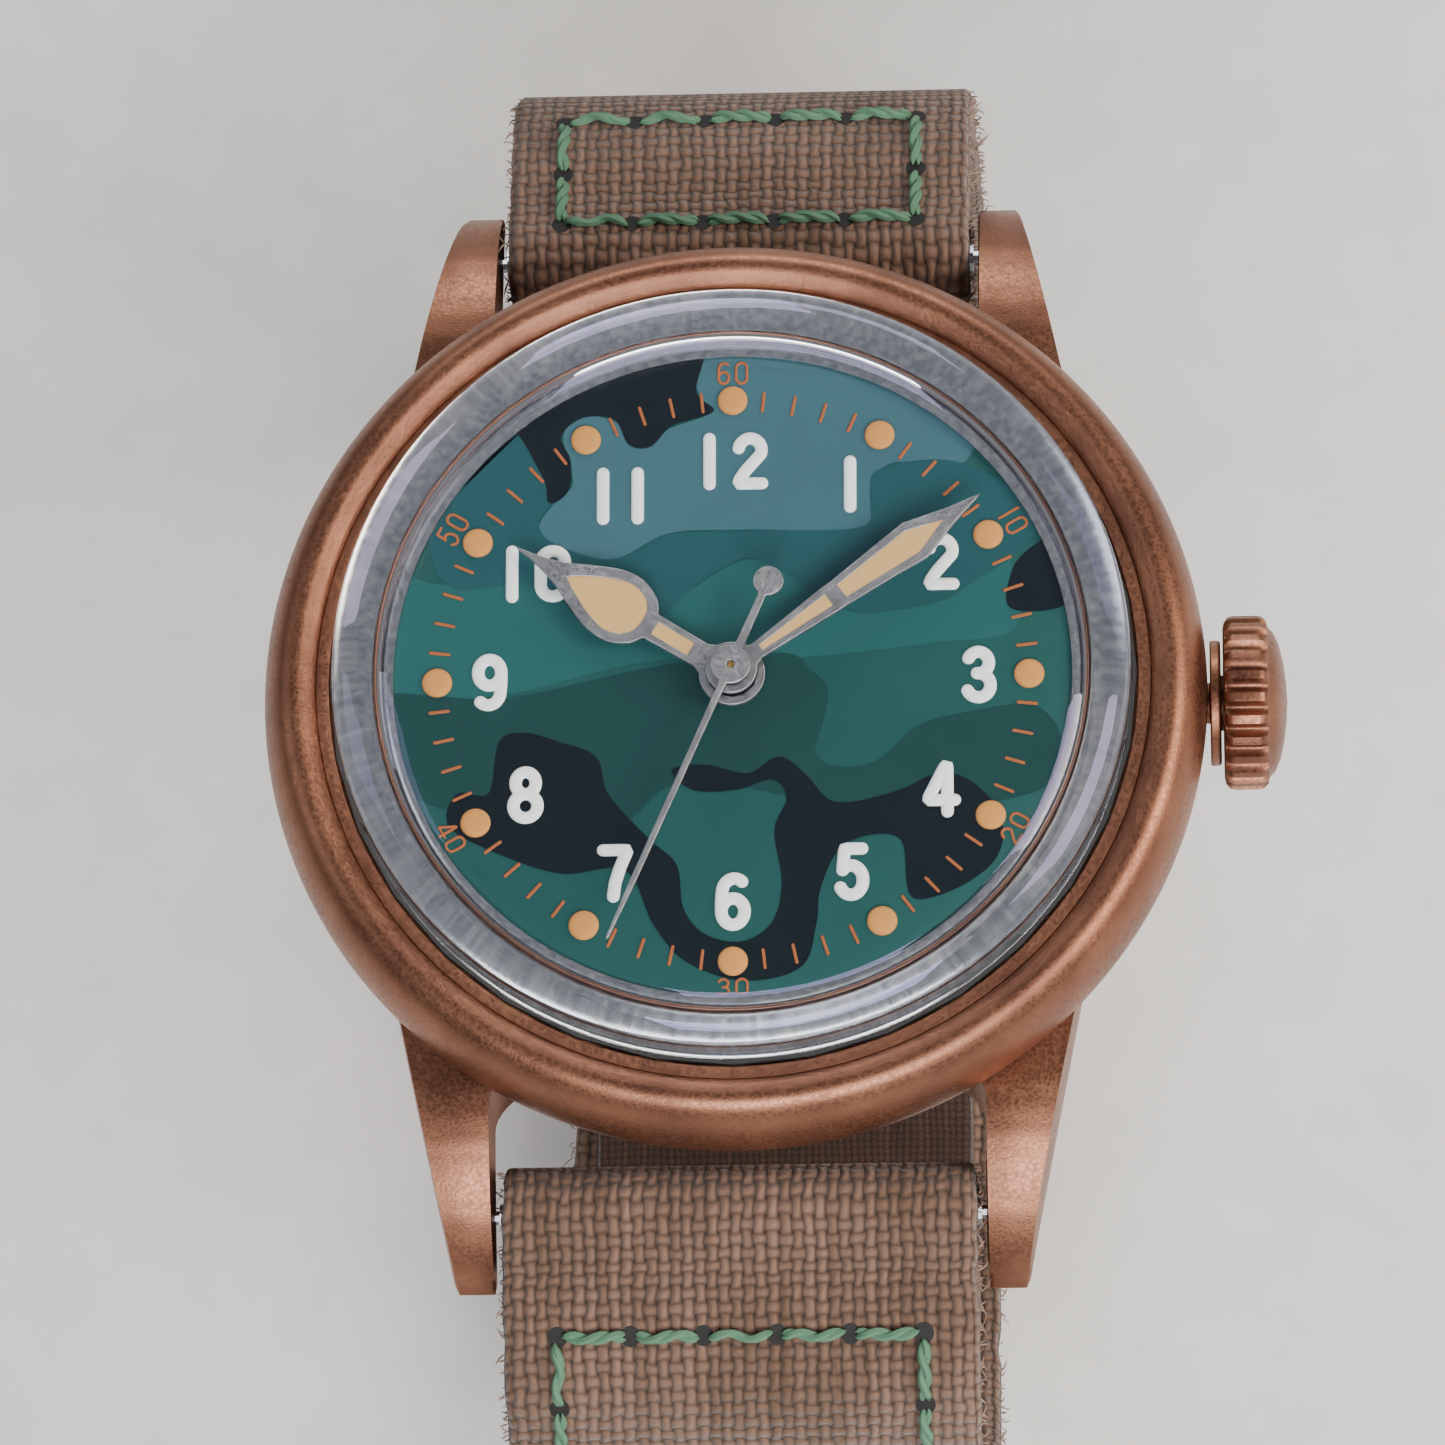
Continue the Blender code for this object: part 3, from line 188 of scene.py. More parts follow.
CASE_R, BORE_R, SHELF, CASE_TOP, CASE_LOW = 18.9, 14.6, 5.2, 7.6, 0.9
wall = eased([(BORE_R, CASE_TOP), (17.2, CASE_TOP), (17.2, SHELF), (CASE_R, SHELF), (CASE_R - 0.1, 3.8),
              (CASE_R - 1.1, 1.8), (CASE_R - 2.0, CASE_LOW), (15.6, CASE_LOW), (15.6, 1.5), (BORE_R, 1.5)],
             [0.1, 0.1, 0.1, 0.15, 2.0, 1.2, 0.3, 0.1, 0.1, 0.1])
middle = solid("case_ring", turned(wall), blasted_bronze, closed=True)
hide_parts("case_middle")

LUG_IN, LUG_ROOT_OUT, LUG_TIP_OUT, LUG_ROOT, LUG_TIP = 10.1, 14.25, 11.8, 12.0, 23.8


def lug(side_x, side_y):
    """One lug as rounded-box sections along y. The top is a curve that falls to the tip, the bottom one that
    rises a little, the inner wall is flat with a fillet where it meets the case, and the outer wall tapers.
    The sections shrink over the last 0.35 mm as a quarter circle, which rounds the tip."""
    y = np.concatenate([np.linspace(LUG_ROOT, 23.2, 40), 23.2 + 0.6 * np.sin(np.linspace(0.1, np.pi / 2, 9))])
    top = np.interp(y, [12, 16.5, 17.6, 18.6, 19.6, 20.6, 21.5, 22.3, 22.9, 23.3, 23.8],
                    [5.05, 5.0, 4.83, 4.55, 4.13, 3.6, 2.96, 2.2, 1.5, 0.85, -0.1])
    low = np.interp(y, [12, 15, 18, 21, 23.2, 23.8], [1.6, 1.0, 0.4, -0.3, -0.45, -0.3])
    far = LUG_ROOT_OUT + (y - LUG_ROOT) / (LUG_TIP - LUG_ROOT) * (LUG_TIP_OUT - LUG_ROOT_OUT)
    near = LUG_IN - 1.1 * np.clip(1 - (y - 15.6) / 1.5, 0, 1) ** 2
    soft = np.minimum(0.32, 0.45 * (top - low))
    pinch = 1 - 0.45 * np.clip((y - 23.2) / 0.6, 0, 1) ** 2
    middle_z, half_z = (top + low) / 2, (top - low) / 2 * pinch
    middle_x, half_x = (near + far) / 2, (far - near) / 2 - 0.25 * (1 - pinch)
    turn = np.linspace(0, 2 * np.pi, 64, endpoint=False)
    c, s = np.cos(turn)[None], np.sin(turn)[None]
    box_x = np.sign(c) * np.minimum(1, np.abs(c) / np.maximum(np.abs(c), np.abs(s)))
    box_z = np.sign(s) * np.minimum(1, np.abs(s) / np.maximum(np.abs(c), np.abs(s)))
    x = (half_x - soft)[:, None] * box_x + soft[:, None] * c
    z = (half_z - soft * pinch)[:, None] * box_z + (soft * pinch)[:, None] * s
    run = np.broadcast_to(y[:, None], x.shape)
    grid = np.stack([x + middle_x[:, None], run, z + middle_z[:, None]], axis=-1)
    ends = [np.broadcast_to(g.mean(axis=0), g.shape)[None] for g in (grid[0], grid[-1])]
    return np.concatenate([ends[0], grid, ends[1]]) * [side_x, side_y, 1]


lugs = solid("lugs", [lug(i, j) for i in (-1, 1) for j in (-1, 1)], blasted_bronze)

BEZEL_R, BEZEL_IN_R, BEZEL_LOW, WIDEST, BEZEL_TOP = 19.5, 16.65, 5.3, 5.9, 8.9
turn = np.radians(np.linspace(125, 0, 26))
middle_r, half_w = (BEZEL_R + BEZEL_IN_R) / 2, (BEZEL_R - BEZEL_IN_R) / 2
crest = np.stack([middle_r + half_w * np.cos(turn), WIDEST + (BEZEL_TOP - WIDEST) * np.sin(turn)], axis=1)
ledge = crest[0, 1] - 0.12
inner = eased([(17.25, 7.7), (BEZEL_IN_R, 7.7), (BEZEL_IN_R, ledge), (crest[0, 0] - 0.06, ledge)], 0.06, 4)
outer = np.array([(BEZEL_R - 0.02, 5.6), (BEZEL_R - 0.1, 5.42), (BEZEL_R - 0.28, BEZEL_LOW),
                  (17.25, BEZEL_LOW)])
bezel = solid("turned_bezel", turned(np.concatenate([inner, crest, outer]), 256), blasted_bronze, closed=True)
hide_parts("bezel")

# ---- crown ----
# The crown is turned bronze with milled flutes and a shallow domed end. It turns and pulls on its stem,
# over a collared tube that is pressed into the case.

CROWN_Z, CROWN_R, CROWN_IN, CROWN_OUT, CROWN_DOME, FLUTES = 4.0, 3.6, 20.15, 22.0, 22.8, 24
turn = np.linspace(0, 2 * np.pi, FLUTES * 16, endpoint=False)
station, size, depth = np.array([
    (21.2, 0.35, 0), (20.6, 0.36, 0), (20.6, 0.48, 0), (CROWN_IN, 0.5, 0), (CROWN_IN, 0.86, 0.0),
    (CROWN_IN + 0.06, 0.93, 0.5), (CROWN_IN + 0.22, 0.985, 1), (CROWN_IN + 0.4, 1.0, 1),
    (CROWN_OUT - 0.4, 1.0, 1), (CROWN_OUT - 0.2, 0.985, 1), (CROWN_OUT - 0.03, 0.93, 0.5),
    (CROWN_OUT, 0.88, 0.05), (CROWN_OUT + 0.04, 0.86, 0), (CROWN_OUT + 0.25, 0.8, 0),
    (CROWN_OUT + 0.47, 0.66, 0), (CROWN_OUT + 0.65, 0.45, 0), (CROWN_DOME - 0.05, 0.22, 0),
    (CROWN_DOME, 0.0, 0)]).T
# A flute is a cosine valley of 0.32 mm, with the top third of each wave cut flat as a land.
valley = 0.32 * np.clip(1 - 1.5 * (0.5 + 0.5 * np.cos(FLUTES * turn)), 0, 1) ** 0.7
radius = CROWN_R * size[:, None] - depth[:, None] * valley[None]
grid = np.stack([np.broadcast_to(station[:, None], radius.shape), radius * np.cos(turn),
                 radius * np.sin(turn) + CROWN_Z], axis=-1)
grid = np.concatenate([np.broadcast_to([21.2, 0, CROWN_Z], grid[:1].shape), grid])
crown = solid("fluted_crown", grid, blasted_bronze, body="crown")
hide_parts("crown")

# ---- domed crystal ----
# The crystal is a box-domed pane of mineral glass, ground and polished, with a violet coating
# on both faces. It presses into a black gasket in the bezel's bore.

CRYSTAL_R, CRYSTAL_IN_R, CRYSTAL_LOW, SHOULDER, DOME_TOP, ROOF = 16.4, 14.7, 8.0, 10.4, 12.2, 1.5


def dome(rim, shoulder, top, soften):
    """Half a boxed dome from its pole to its rim: a parabola falls by the dome's rise out to the rim less
    soften, then a quarter ellipse turns it down into the side wall."""
    share = np.linspace(0, 1, 30)
    radius = share * (rim - soften)
    height = top - (top - shoulder - 0.6) * share**2
    turn = np.radians(np.linspace(64, 0, 12))
    edge_r = rim - soften + soften * (np.cos(turn) - np.cos(turn[0])) / (1 - np.cos(turn[0]))
    edge_z = height[-1] - (0.6 + soften * 0.5) * (np.sin(turn[0]) - np.sin(turn)) / np.sin(turn[0])
    return np.concatenate([np.stack([radius, height], 1), np.stack([edge_r, edge_z], 1)[1:]])


glass_out = np.concatenate([dome(CRYSTAL_R, SHOULDER, DOME_TOP, 0.9),
                            [(CRYSTAL_R, CRYSTAL_LOW + 0.12), (CRYSTAL_R - 0.12, CRYSTAL_LOW)]])
glass_in = np.concatenate([dome(CRYSTAL_IN_R, SHOULDER - ROOF, DOME_TOP - ROOF, 0.7),
                           [(CRYSTAL_IN_R, CRYSTAL_LOW)]])

# Coated glass: the violet tint shows only in what it mirrors. Light that falls through it to the dial
# passes straight, as through any thin clear pane, so that the dial is evenly lit.
coated_glass, tree, shader = finish("coated mineral glass", Roughness=0.0, IOR=1.5, Transmission_Weight=1.0)
shader.inputs["Specular IOR Level"].default_value = 0.22
shader.inputs["Base Color"].default_value = hexed("#fdfdff")
shader.inputs["Specular Tint"].default_value = hexed("#c9bfff")
place = add(tree, "TexCoord").outputs["Object"]
smear = add(tree, "TexNoise", ("Vector", place), Scale=1 / (6 * MM), Detail=3.0)
touch = add(tree, "MapRange", ("Value", smear.outputs["Fac"]), From_Min=0.45, To_Min=0.0, To_Max=0.012)
tree.links.new(touch.outputs["Result"], shader.inputs["Roughness"])
ray = add(tree, "LightPath")
passing = add(tree, "Math", (0, ray.outputs["Is Shadow Ray"]), (1, ray.outputs["Is Diffuse Ray"]),
              operation="MAXIMUM")
clear = add(tree, "BsdfTransparent", Color=hexed("#f4f6fa"))
pane = add(tree, "MixShader", ("Fac", passing.outputs[0]), (1, shader.outputs[0]), (2, clear.outputs[0]))
tree.links.new(pane.outputs[0], tree.nodes["Material Output"].inputs["Surface"])

crystal = solid("domed_crystal", turned(np.concatenate([glass_out, glass_in[::-1]]), 256), coated_glass,
                around=False, closed=True, angle=60)
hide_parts("crystal")

# ---- rehaut ----
# A polished steel ring under the crystal covers the dial's edge and throws a bright line into the glass.


def drawn(name, light, dark, grain, stretch, roughness, metallic=1.0, depth=0.1):
    """Machined metal: fine marks of the grain's width, drawn out along one axis, streak colour and gloss."""
    made, tree, shader = finish(name, Metallic=metallic)
    place = add(tree, "Mapping", ("Vector", add(tree, "TexCoord").outputs["Object"]))
    place.inputs["Scale"].default_value = stretch
    marks = add(tree, "TexNoise", ("Vector", place.outputs[0]), Scale=1 / (grain * MM), Detail=5.0)
    tone = add(tree, "ValToRGB", ("Fac", marks.outputs["Fac"]))
    tone.color_ramp.elements[0].position, tone.color_ramp.elements[1].position = 0.3, 0.7
    tone.color_ramp.elements[0].color, tone.color_ramp.elements[1].color = hexed(dark), hexed(light)
    gloss = add(tree, "MapRange", ("Value", marks.outputs["Fac"]), To_Min=roughness - 0.08,
                To_Max=roughness + 0.1)
    relief = add(tree, "Bump", ("Height", marks.outputs["Fac"]), Strength=depth, Distance=grain * 0.2 * MM)
    tree.links.new(tone.outputs["Color"], shader.inputs["Base Color"])
    tree.links.new(gloss.outputs["Result"], shader.inputs["Roughness"])
    tree.links.new(relief.outputs["Normal"], shader.inputs["Normal"])
    return made


# Polished steel: nearly mirror bright, with faint turning marks.
polished_steel = drawn("polished steel", "#d8dade", "#bfc2c8", grain=0.3, stretch=(1, 1, 1), roughness=0.2)
ring = eased([(14.0, 7.9), (16.4, 7.9), (16.4, 7.7), (14.0, 7.7)], 0.03, 3)
rehaut = solid("polished_rehaut", turned(ring), polished_steel, closed=True)
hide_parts("rehaut_ring")

# ---- dial ----
# A brass disc, painted in camouflage greens and pad-printed with orange-brown minute marks.
# The hour numbers and dots are raised luminous paint, laid on by hand.

DIAL_R, DIAL_TOP, DIAL_LOW, DIAL_BORE = 14.4, 7.6, 7.2, 1.2


def painted(name, base, roughness=0.34, relief=0.04, mottle=0.05):
    """Sprayed and lacquered paint: one hue whose depth drifts a little, with a spray's faint orange peel."""
    made, tree, shader = finish(name)
    shader.inputs["Specular IOR Level"].default_value = 0.25
    place = add(tree, "TexCoord").outputs["Object"]
    drift = add(tree, "TexNoise", ("Vector", place), Scale=1 / (3.0 * MM), Detail=5.0)
    value = add(tree, "MapRange", ("Value", drift.outputs["Fac"]), To_Min=1 - mottle * 2, To_Max=1 + mottle)
    tone = add(tree, "HueSaturation", ("Value", value.outputs["Result"]), Color=hexed(base))
    peel = add(tree, "TexNoise", ("Vector", place), Scale=1 / (0.25 * MM), Detail=2.0)
    bump = add(tree, "Bump", ("Height", peel.outputs["Fac"]), Strength=relief, Distance=0.02 * MM)
    gloss = add(tree, "MapRange", ("Value", peel.outputs["Fac"]), To_Min=roughness - 0.05,
                To_Max=roughness + 0.05)
    for output, name_in in ((tone.outputs["Color"], "Base Color"), (gloss.outputs["Result"], "Roughness"),
                            (bump.outputs["Normal"], "Normal")):
        tree.links.new(output, shader.inputs[name_in])
    return made


mid_green = painted("satin mid green lacquer", "#1c4a44")
edge = eased([(DIAL_BORE, DIAL_TOP), (DIAL_R, DIAL_TOP), (DIAL_R, DIAL_LOW), (DIAL_BORE, DIAL_LOW)], 0.04, 3)
dial = solid("painted_dial", turned(edge), mid_green, closed=True)
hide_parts("dial")


def through(points, steps=10):
    """A closed Catmull-Rom curve through the points, each span cut into equal steps of its parameter."""
    p = np.asarray(points, float)
    before, after, beyond = np.roll(p, 1, 0), np.roll(p, -1, 0), np.roll(p, -2, 0)
    t = (np.arange(steps) / steps)[None, :, None]
    a, b, c, d = (q[:, None] for q in (before, p, after, beyond))
    curve = 0.5 * (2 * b + (c - a) * t + (2 * a - 5 * b + 4 * c - d) * t**2 + (3 * b - a - 3 * c + d) * t**3)
    return curve.reshape(-1, 2)


def printed(name, outline, height, material):
    """A film of paint on the dial: one flat face inside the outline, drawn in to the dial's edge where it
    would pass it."""
    radius = np.linalg.norm(outline, axis=1, keepdims=True)
    outline = outline * np.minimum(1, (DIAL_R - 0.1) / radius)
    mesh = bpy.data.meshes.new(name)
    points = np.column_stack([outline, np.full(len(outline), height)])
    mesh.from_pydata(points * MM, [], [range(len(points))])
    shape = bmesh.new()
    shape.from_mesh(mesh)
    bmesh.ops.triangulate(shape, faces=shape.faces)
    for face in shape.faces:
        if face.normal.z < 0:
            face.normal_flip()
    shape.to_mesh(mesh)
    shape.free()
    made = bpy.data.objects.new(name, mesh)
    bpy.context.scene.collection.objects.link(made)
    mesh.materials.append(material)
    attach(made, "head")
    return made


# The camouflage is sprayed through stencils in four more tones, each over the last.
slate, deep, moss, night = (painted(f"satin {name} lacquer", tone) for name, tone in (
    ("slate", "#3a5f66"), ("deep teal", "#1e4a4c"), ("moss", "#163a35"), ("night", "#03100f")))
printed("slate_patch", through([
    (-6.1, 11.6), (-7.0, 10.8), (-6.6, 8.7), (-7.2, 8.0), (-8.0, 6.8), (-7.4, 6.0), (-5.0, 5.3),
    (-2.6, 6.4), (0.6, 6.5), (5.3, 6.5), (5.7, 8.2), (6.6, 9.3), (9.6, 9.3), (9.5, 12.0), (4.0, 15.5),
    (-1.4, 15.5), (-1.4, 12.4), (-0.8, 11.7), (-2.8, 10.9), (-3.6, 10.2), (-4.6, 11.2)]),
    DIAL_TOP + 0.012, slate)
printed("teal_band", through([
    (-14.6, 4.6), (-12.2, 4.3), (-10.7, 4.4), (-8.0, 4.2), (-6.1, 2.6), (-4.0, 2.0), (-1.6, 4.0),
    (0.6, 5.2), (2.4, 4.4), (4.2, 3.1), (6.0, 2.8), (9.0, 3.4), (11.2, 5.2), (11.6, 2.0), (8.0, 1.4),
    (3.0, 0.9), (-3.5, 0.8), (-9.8, -0.6), (-14.8, -0.4)]),
    DIAL_TOP + 0.012, painted("satin teal lacquer", "#225551"))
printed("deep_band", through([
    (-12.4, 9.0), (-10.2, 11.4), (-8.4, 10.8), (-7.4, 8.2), (-8.0, 7.0), (-7.5, 6.1), (-5.4, 5.3),
    (-4.0, 5.6), (-2.7, 6.35), (0.6, 6.45), (5.2, 6.5), (5.7, 7.6), (6.0, 9.0), (9.2, 9.3), (12.4, 7.4),
    (12.4, 6.0), (10.0, 4.1), (6.2, 2.8), (4.4, 3.1), (1.6, 4.9), (0.4, 5.2), (-1.4, 4.2), (-3.0, 2.8),
    (-5.6, 2.4), (-7.6, 4.0), (-9.4, 4.2), (-11.4, 4.1), (-12.4, 5.4)]), DIAL_TOP + 0.024, deep)
printed("moss_field", through([
    (-15.0, -0.6), (-9.4, -0.7), (-3.5, 0.5), (1.9, 1.1), (3.2, 0.3), (3.9, -0.5), (3.7, -1.9), (3.4, -3.3),
    (4.4, -3.9), (6.0, -3.6), (7.4, -2.3), (9.2, -1.7), (12.6, -1.5), (13.6, -4.4), (10.2, -5.6),
    (6.4, -6.0), (3.4, -5.4), (0.0, -4.6), (-2.6, -4.6), (-4.6, -6.2), (-7.6, -6.4), (-12.0, -5.4),
    (-14.6, -4.0)]), DIAL_TOP + 0.024, moss)
printed("night_patch", through([
    (-9.6, -2.6), (-8.6, -2.2), (-7.2, -2.6), (-5.6, -3.3), (-5.1, -4.9), (-3.4, -6.9), (-2.3, -8.0),
    (-2.0, -9.9), (-1.1, -11.0), (0.4, -11.3), (1.6, -10.5), (2.0, -8.8), (1.7, -6.6), (2.2, -5.2),
    (1.6, -4.4), (0.2, -4.8), (-1.6, -4.8), (-2.5, -3.9), (-1.1, -3.7), (0.6, -4.1), (1.9, -3.4),
    (3.0, -4.2), (4.2, -5.4), (6.6, -5.0), (8.6, -4.2), (10.2, -5.0), (11.0, -6.6), (10.4, -8.4),
    (7.4, -9.6), (6.8, -7.0), (4.6, -7.2), (3.6, -9.0), (3.4, -10.6), (2.8, -12.4), (0.6, -13.0),
    (-1.8, -12.2), (-3.2, -10.6), (-4.4, -8.2), (-7.0, -8.3), (-9.6, -7.4), (-11.6, -6.2), (-11.3, -4.8),
    (-10.0, -4.8)]), DIAL_TOP + 0.036, night)
printed("night_top", through([
    (-12.0, 7.6), (-9.6, 11.2), (-7.9, 9.0), (-7.6, 7.8), (-6.8, 8.3), (-6.7, 9.6), (-7.1, 10.7),
    (-6.2, 11.5), (-4.9, 11.4), (-4.3, 10.3), (-3.4, 10.2), (-2.5, 11.1), (-0.8, 11.7), (-1.5, 12.6),
    (-1.5, 15.0), (-7.0, 14.0)]), DIAL_TOP + 0.036, night)
printed("night_right", through([
    (12.2, 5.4), (11.4, 4.2), (11.5, 2.8), (14.0, 3.2), (14.6, 6.6)]), DIAL_TOP + 0.036, night)

# Raised luminous paint: matt, chalky and slightly uneven. The numbers are white and the dots aged cream.


def luminous(name, base, grain=0.1):
    """Matt, chalky stuff: one hue that speckles between 0.9 and 1.06 of its brightness, with a fine grain."""
    made, tree, shader = finish(name, Roughness=0.75)
    place = add(tree, "TexCoord").outputs["Object"]
    chalk = add(tree, "TexNoise", ("Vector", place), Scale=1 / (grain * MM), Detail=3.0)
    value = add(tree, "MapRange", ("Value", chalk.outputs["Fac"]), To_Min=0.9, To_Max=1.06)
    tone = add(tree, "HueSaturation", ("Value", value.outputs["Result"]), Color=hexed(base))
    bump = add(tree, "Bump", ("Height", chalk.outputs["Fac"]), Strength=0.2, Distance=0.02 * MM)
    tree.links.new(tone.outputs["Color"], shader.inputs["Base Color"])
    tree.links.new(bump.outputs["Normal"], shader.inputs["Normal"])
    return made


white_paint = luminous("raised white luminous paint", "#fafcf6")
cream_paint = luminous("raised cream luminous paint", "#cc8a3c")
amber_print = painted("orange-brown printing ink", "#a05a2c", roughness=0.5)


def stroke(path, width, height, low):
    """A stroke of paint along a path: half an ellipse carried along it, which narrows at both ends as a
    quarter circle, so that the ends are round."""
    path = np.asarray(path, float)
    run = np.concatenate([[0], np.cumsum(np.linalg.norm(np.diff(path, axis=0), axis=1))])
    shut = np.allclose(path[0], path[-1])
    length, half = run[-1], width / 2
    at = np.linspace(0, length, max(int(length / (width * 0.16)), 12))
    line = np.stack([np.interp(at, run, path[:, i]) for i in (0, 1)], axis=1)
    ahead = np.gradient(line, axis=0)
    if shut:
        ahead[0] = ahead[-1] = ahead[0] + ahead[-1]
    ahead /= np.linalg.norm(ahead, axis=1)[:, None]
    swell = np.ones(len(at))
    if not shut:
        reach = half * np.sin(np.linspace(np.pi / 2, 0, 8))[:-1]
        narrow = np.cos(np.linspace(np.pi / 2, 0, 8))[:-1]
        line = np.concatenate([line[0] - ahead[0] * reach[:, None], line,
                               line[-1] + ahead[-1] * reach[::-1, None]])
        ahead = np.concatenate([np.repeat(ahead[:1], 7, 0), ahead, np.repeat(ahead[-1:], 7, 0)])
        swell = np.concatenate([narrow, swell, narrow[::-1]])
    side = np.stack([-ahead[:, 1], ahead[:, 0]], axis=1)
    turn = np.linspace(0, np.pi, 9)
    around = np.concatenate([turn, [np.pi, 0]])
    lift = np.concatenate([np.sin(turn) ** 0.7 * height, [-0.04, -0.04]])
    spread = np.cos(around)
    xy = line[:, None] + side[:, None] * (spread[None, :, None] * half * swell[:, None, None])
    z = low + lift[None] * np.where(lift > 0, swell[:, None] ** 0.8, 1)
    return np.concatenate([xy, z[..., None]], axis=-1)


def bow(x, y, rx, ry, start, end, steps=14):
    """Points on an ellipse about (x, y) with half-axes rx and ry, evenly between two angles in degrees."""
    turn = np.radians(np.linspace(start, end, steps))
    return np.stack([x + rx * np.cos(turn), y + ry * np.sin(turn)], axis=1)


def line(*points):
    """A straight-sided line through the points."""
    return np.asarray(points, float)


# Each number's strokes lie in a cell 1 wide and 2 high: ellipse arcs and straight lines, as a pen draws them.
GLYPHS = {
    "0": [np.concatenate([bow(0.5, 1.5, 0.5, 0.5, 0, 180), bow(0.5, 0.5, 0.5, 0.5, 180, 360), [(1, 1.5)]])],
    "1": [line((0.5, 2), (0.5, 0))],
    "2": [np.concatenate([bow(0.5, 1.48, 0.48, 0.52, 170, -20),
                          line((0.62, 0.92), (0.3, 0.55), (0.08, 0.22), (0, 0), (0.05, 0), (1, 0))])],
    "3": [np.concatenate([bow(0.47, 1.52, 0.44, 0.48, 155, -78), [(0.42, 1.06)]]),
          np.concatenate([[(0.42, 1.06)], bow(0.47, 0.53, 0.5, 0.53, 82, -155)])],
    "4": [line((0.78, 0), (0.78, 2), (0.7, 2), (0, 0.6), (0, 0.5), (1.08, 0.5))],
    "5": [line((0.92, 2), (0.2, 2), (0.12, 1.1)),
          np.concatenate([[(0.12, 1.08)], bow(0.46, 0.64, 0.5, 0.64, 125, -150, 18)])],
    "6": [np.concatenate([bow(0.55, 1.4, 0.5, 0.6, 50, 170), [(0.02, 1.0)],
                          bow(0.5, 0.58, 0.48, 0.58, 180, 360),
                          bow(0.5, 0.58, 0.48, 0.56, 0, 160)])],
    "7": [line((0, 2), (1, 2), (0.95, 1.85), (0.68, 1.2), (0.5, 0.6), (0.42, 0))],
    "8": [bow(0.5, 1.52, 0.42, 0.48, 0, 360, 24), bow(0.5, 0.52, 0.5, 0.52, 0, 360, 26)],
    "9": [np.concatenate([bow(0.45, 0.6, 0.5, 0.6, -130, -10), [(0.98, 1.0)],
                          bow(0.5, 1.42, 0.48, 0.58, 0, 180),
                          bow(0.5, 1.42, 0.48, 0.56, 180, 340)])],
}


def number(text, centre, tall, width, height, low, turned_by=0.0):
    """The strokes of a number, tall from outline to outline, set about its centre and turned by degrees."""
    size = (tall - width) / 2
    pitch = np.array([0.0] + [(0.5 if glyph == "1" else 1.0) for glyph in text]) * size * 1.0
    space = width + 0.42 * size
    total = pitch.sum() + space * (len(text) - 1)
    x, made = -total / 2, []
    spin = np.radians(turned_by)
    matrix = np.array([[np.cos(spin), -np.sin(spin)], [np.sin(spin), np.cos(spin)]])
    for glyph, wide in zip(text, pitch[1:]):
        shift = x - (0.25 * size if glyph == "1" else 0)
        for path in GLYPHS[glyph]:
            placed = (path * size + (shift, -size)) @ matrix.T + centre
            made.append(stroke(placed, width, height, low))
        x += wide + space
    return made


def together(name, grids, material, body="head"):
    """One object from grids of different lengths: each becomes its own run of faces."""
    parts = [solid(f"{name}_{i}", grid, material, body) for i, grid in enumerate(grids)]
    shape = bmesh.new()
    for part in parts:
        shape.from_mesh(part.data)
    mesh = bpy.data.meshes.new(name)
    shape.to_mesh(mesh)
    shape.free()
    for part in parts:
        bpy.data.objects.remove(part)
    mesh.shade_smooth()
    mesh.set_sharp_from_angle(angle=np.radians(60))
    mesh.materials.append(material)
    made = bpy.data.objects.new(name, mesh)
    bpy.context.scene.collection.objects.link(made)
    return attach(made, body)


def around_dial(radius, hour):
    """The place at a radius and an hour: 12 is at +Y, and each hour is 30 degrees clockwise."""
    turn = np.radians(90 - 30 * hour)
    return np.array([radius * np.cos(turn), radius * np.sin(turn)])


NUMBER_R = {1: 9.7, 2: 9.9, 3: 10.1, 4: 9.8, 5: 9.7, 6: 9.6,
            7: 9.6, 8: 9.8, 9: 10.0, 10: 9.4, 11: 9.3, 12: 9.5}
strokes = [s for hour in range(1, 13) for s in
           number(str(hour), around_dial(NUMBER_R[hour], hour), 2.5, 0.52, 0.12, DIAL_TOP + 0.03)]
numbers = together("hour_numbers", strokes, white_paint)

# A dot is a drop of paint: a flat dome 1.25 wide.
share = np.array([1.0, 1.0, 0.96, 0.88, 0.72, 0.45, 0.0])
rise = np.array([-0.05, 0.04, 0.1, 0.14, 0.17, 0.19, 0.2])
turn = np.linspace(0, 2 * np.pi, 28, endpoint=False)
spots = np.array([around_dial(12.15, hour) for hour in range(1, 13)])
grid = np.stack([spots[:, 0, None, None] + 0.62 * share[:, None] * np.cos(turn),
                 spots[:, 1, None, None] + 0.62 * share[:, None] * np.sin(turn),
                 np.broadcast_to((DIAL_TOP + 0.03 + rise)[None, :, None], (12, 7, 28))], axis=-1)
dots = solid("hour_dots", grid, cream_paint)

ticks = []
for minute in range(60):
    if minute % 5:
        ends = [around_dial(r, minute / 5) for r in (11.75, 12.5)]
        ticks.append(stroke(ends, 0.13, 0.02, DIAL_TOP + 0.05))
for minute, upright in ((60, True), (10, False), (20, False), (30, True), (40, False), (50, False)):
    turn_by = 0 if upright else -6 * minute + (180 if 15 < minute < 45 else 0)
    ticks += number(str(minute), around_dial(13.35, minute / 5), 1.0, 0.11, 0.02, DIAL_TOP + 0.05, turn_by)
minute_print = together("minute_print", ticks, amber_print)

# ---- hands ----
# Each hand is stamped from steel with open windows, grained by sandblasting and pressed on its own
# pipe. Cream luminous paint fills the windows of the hour and minute hands.

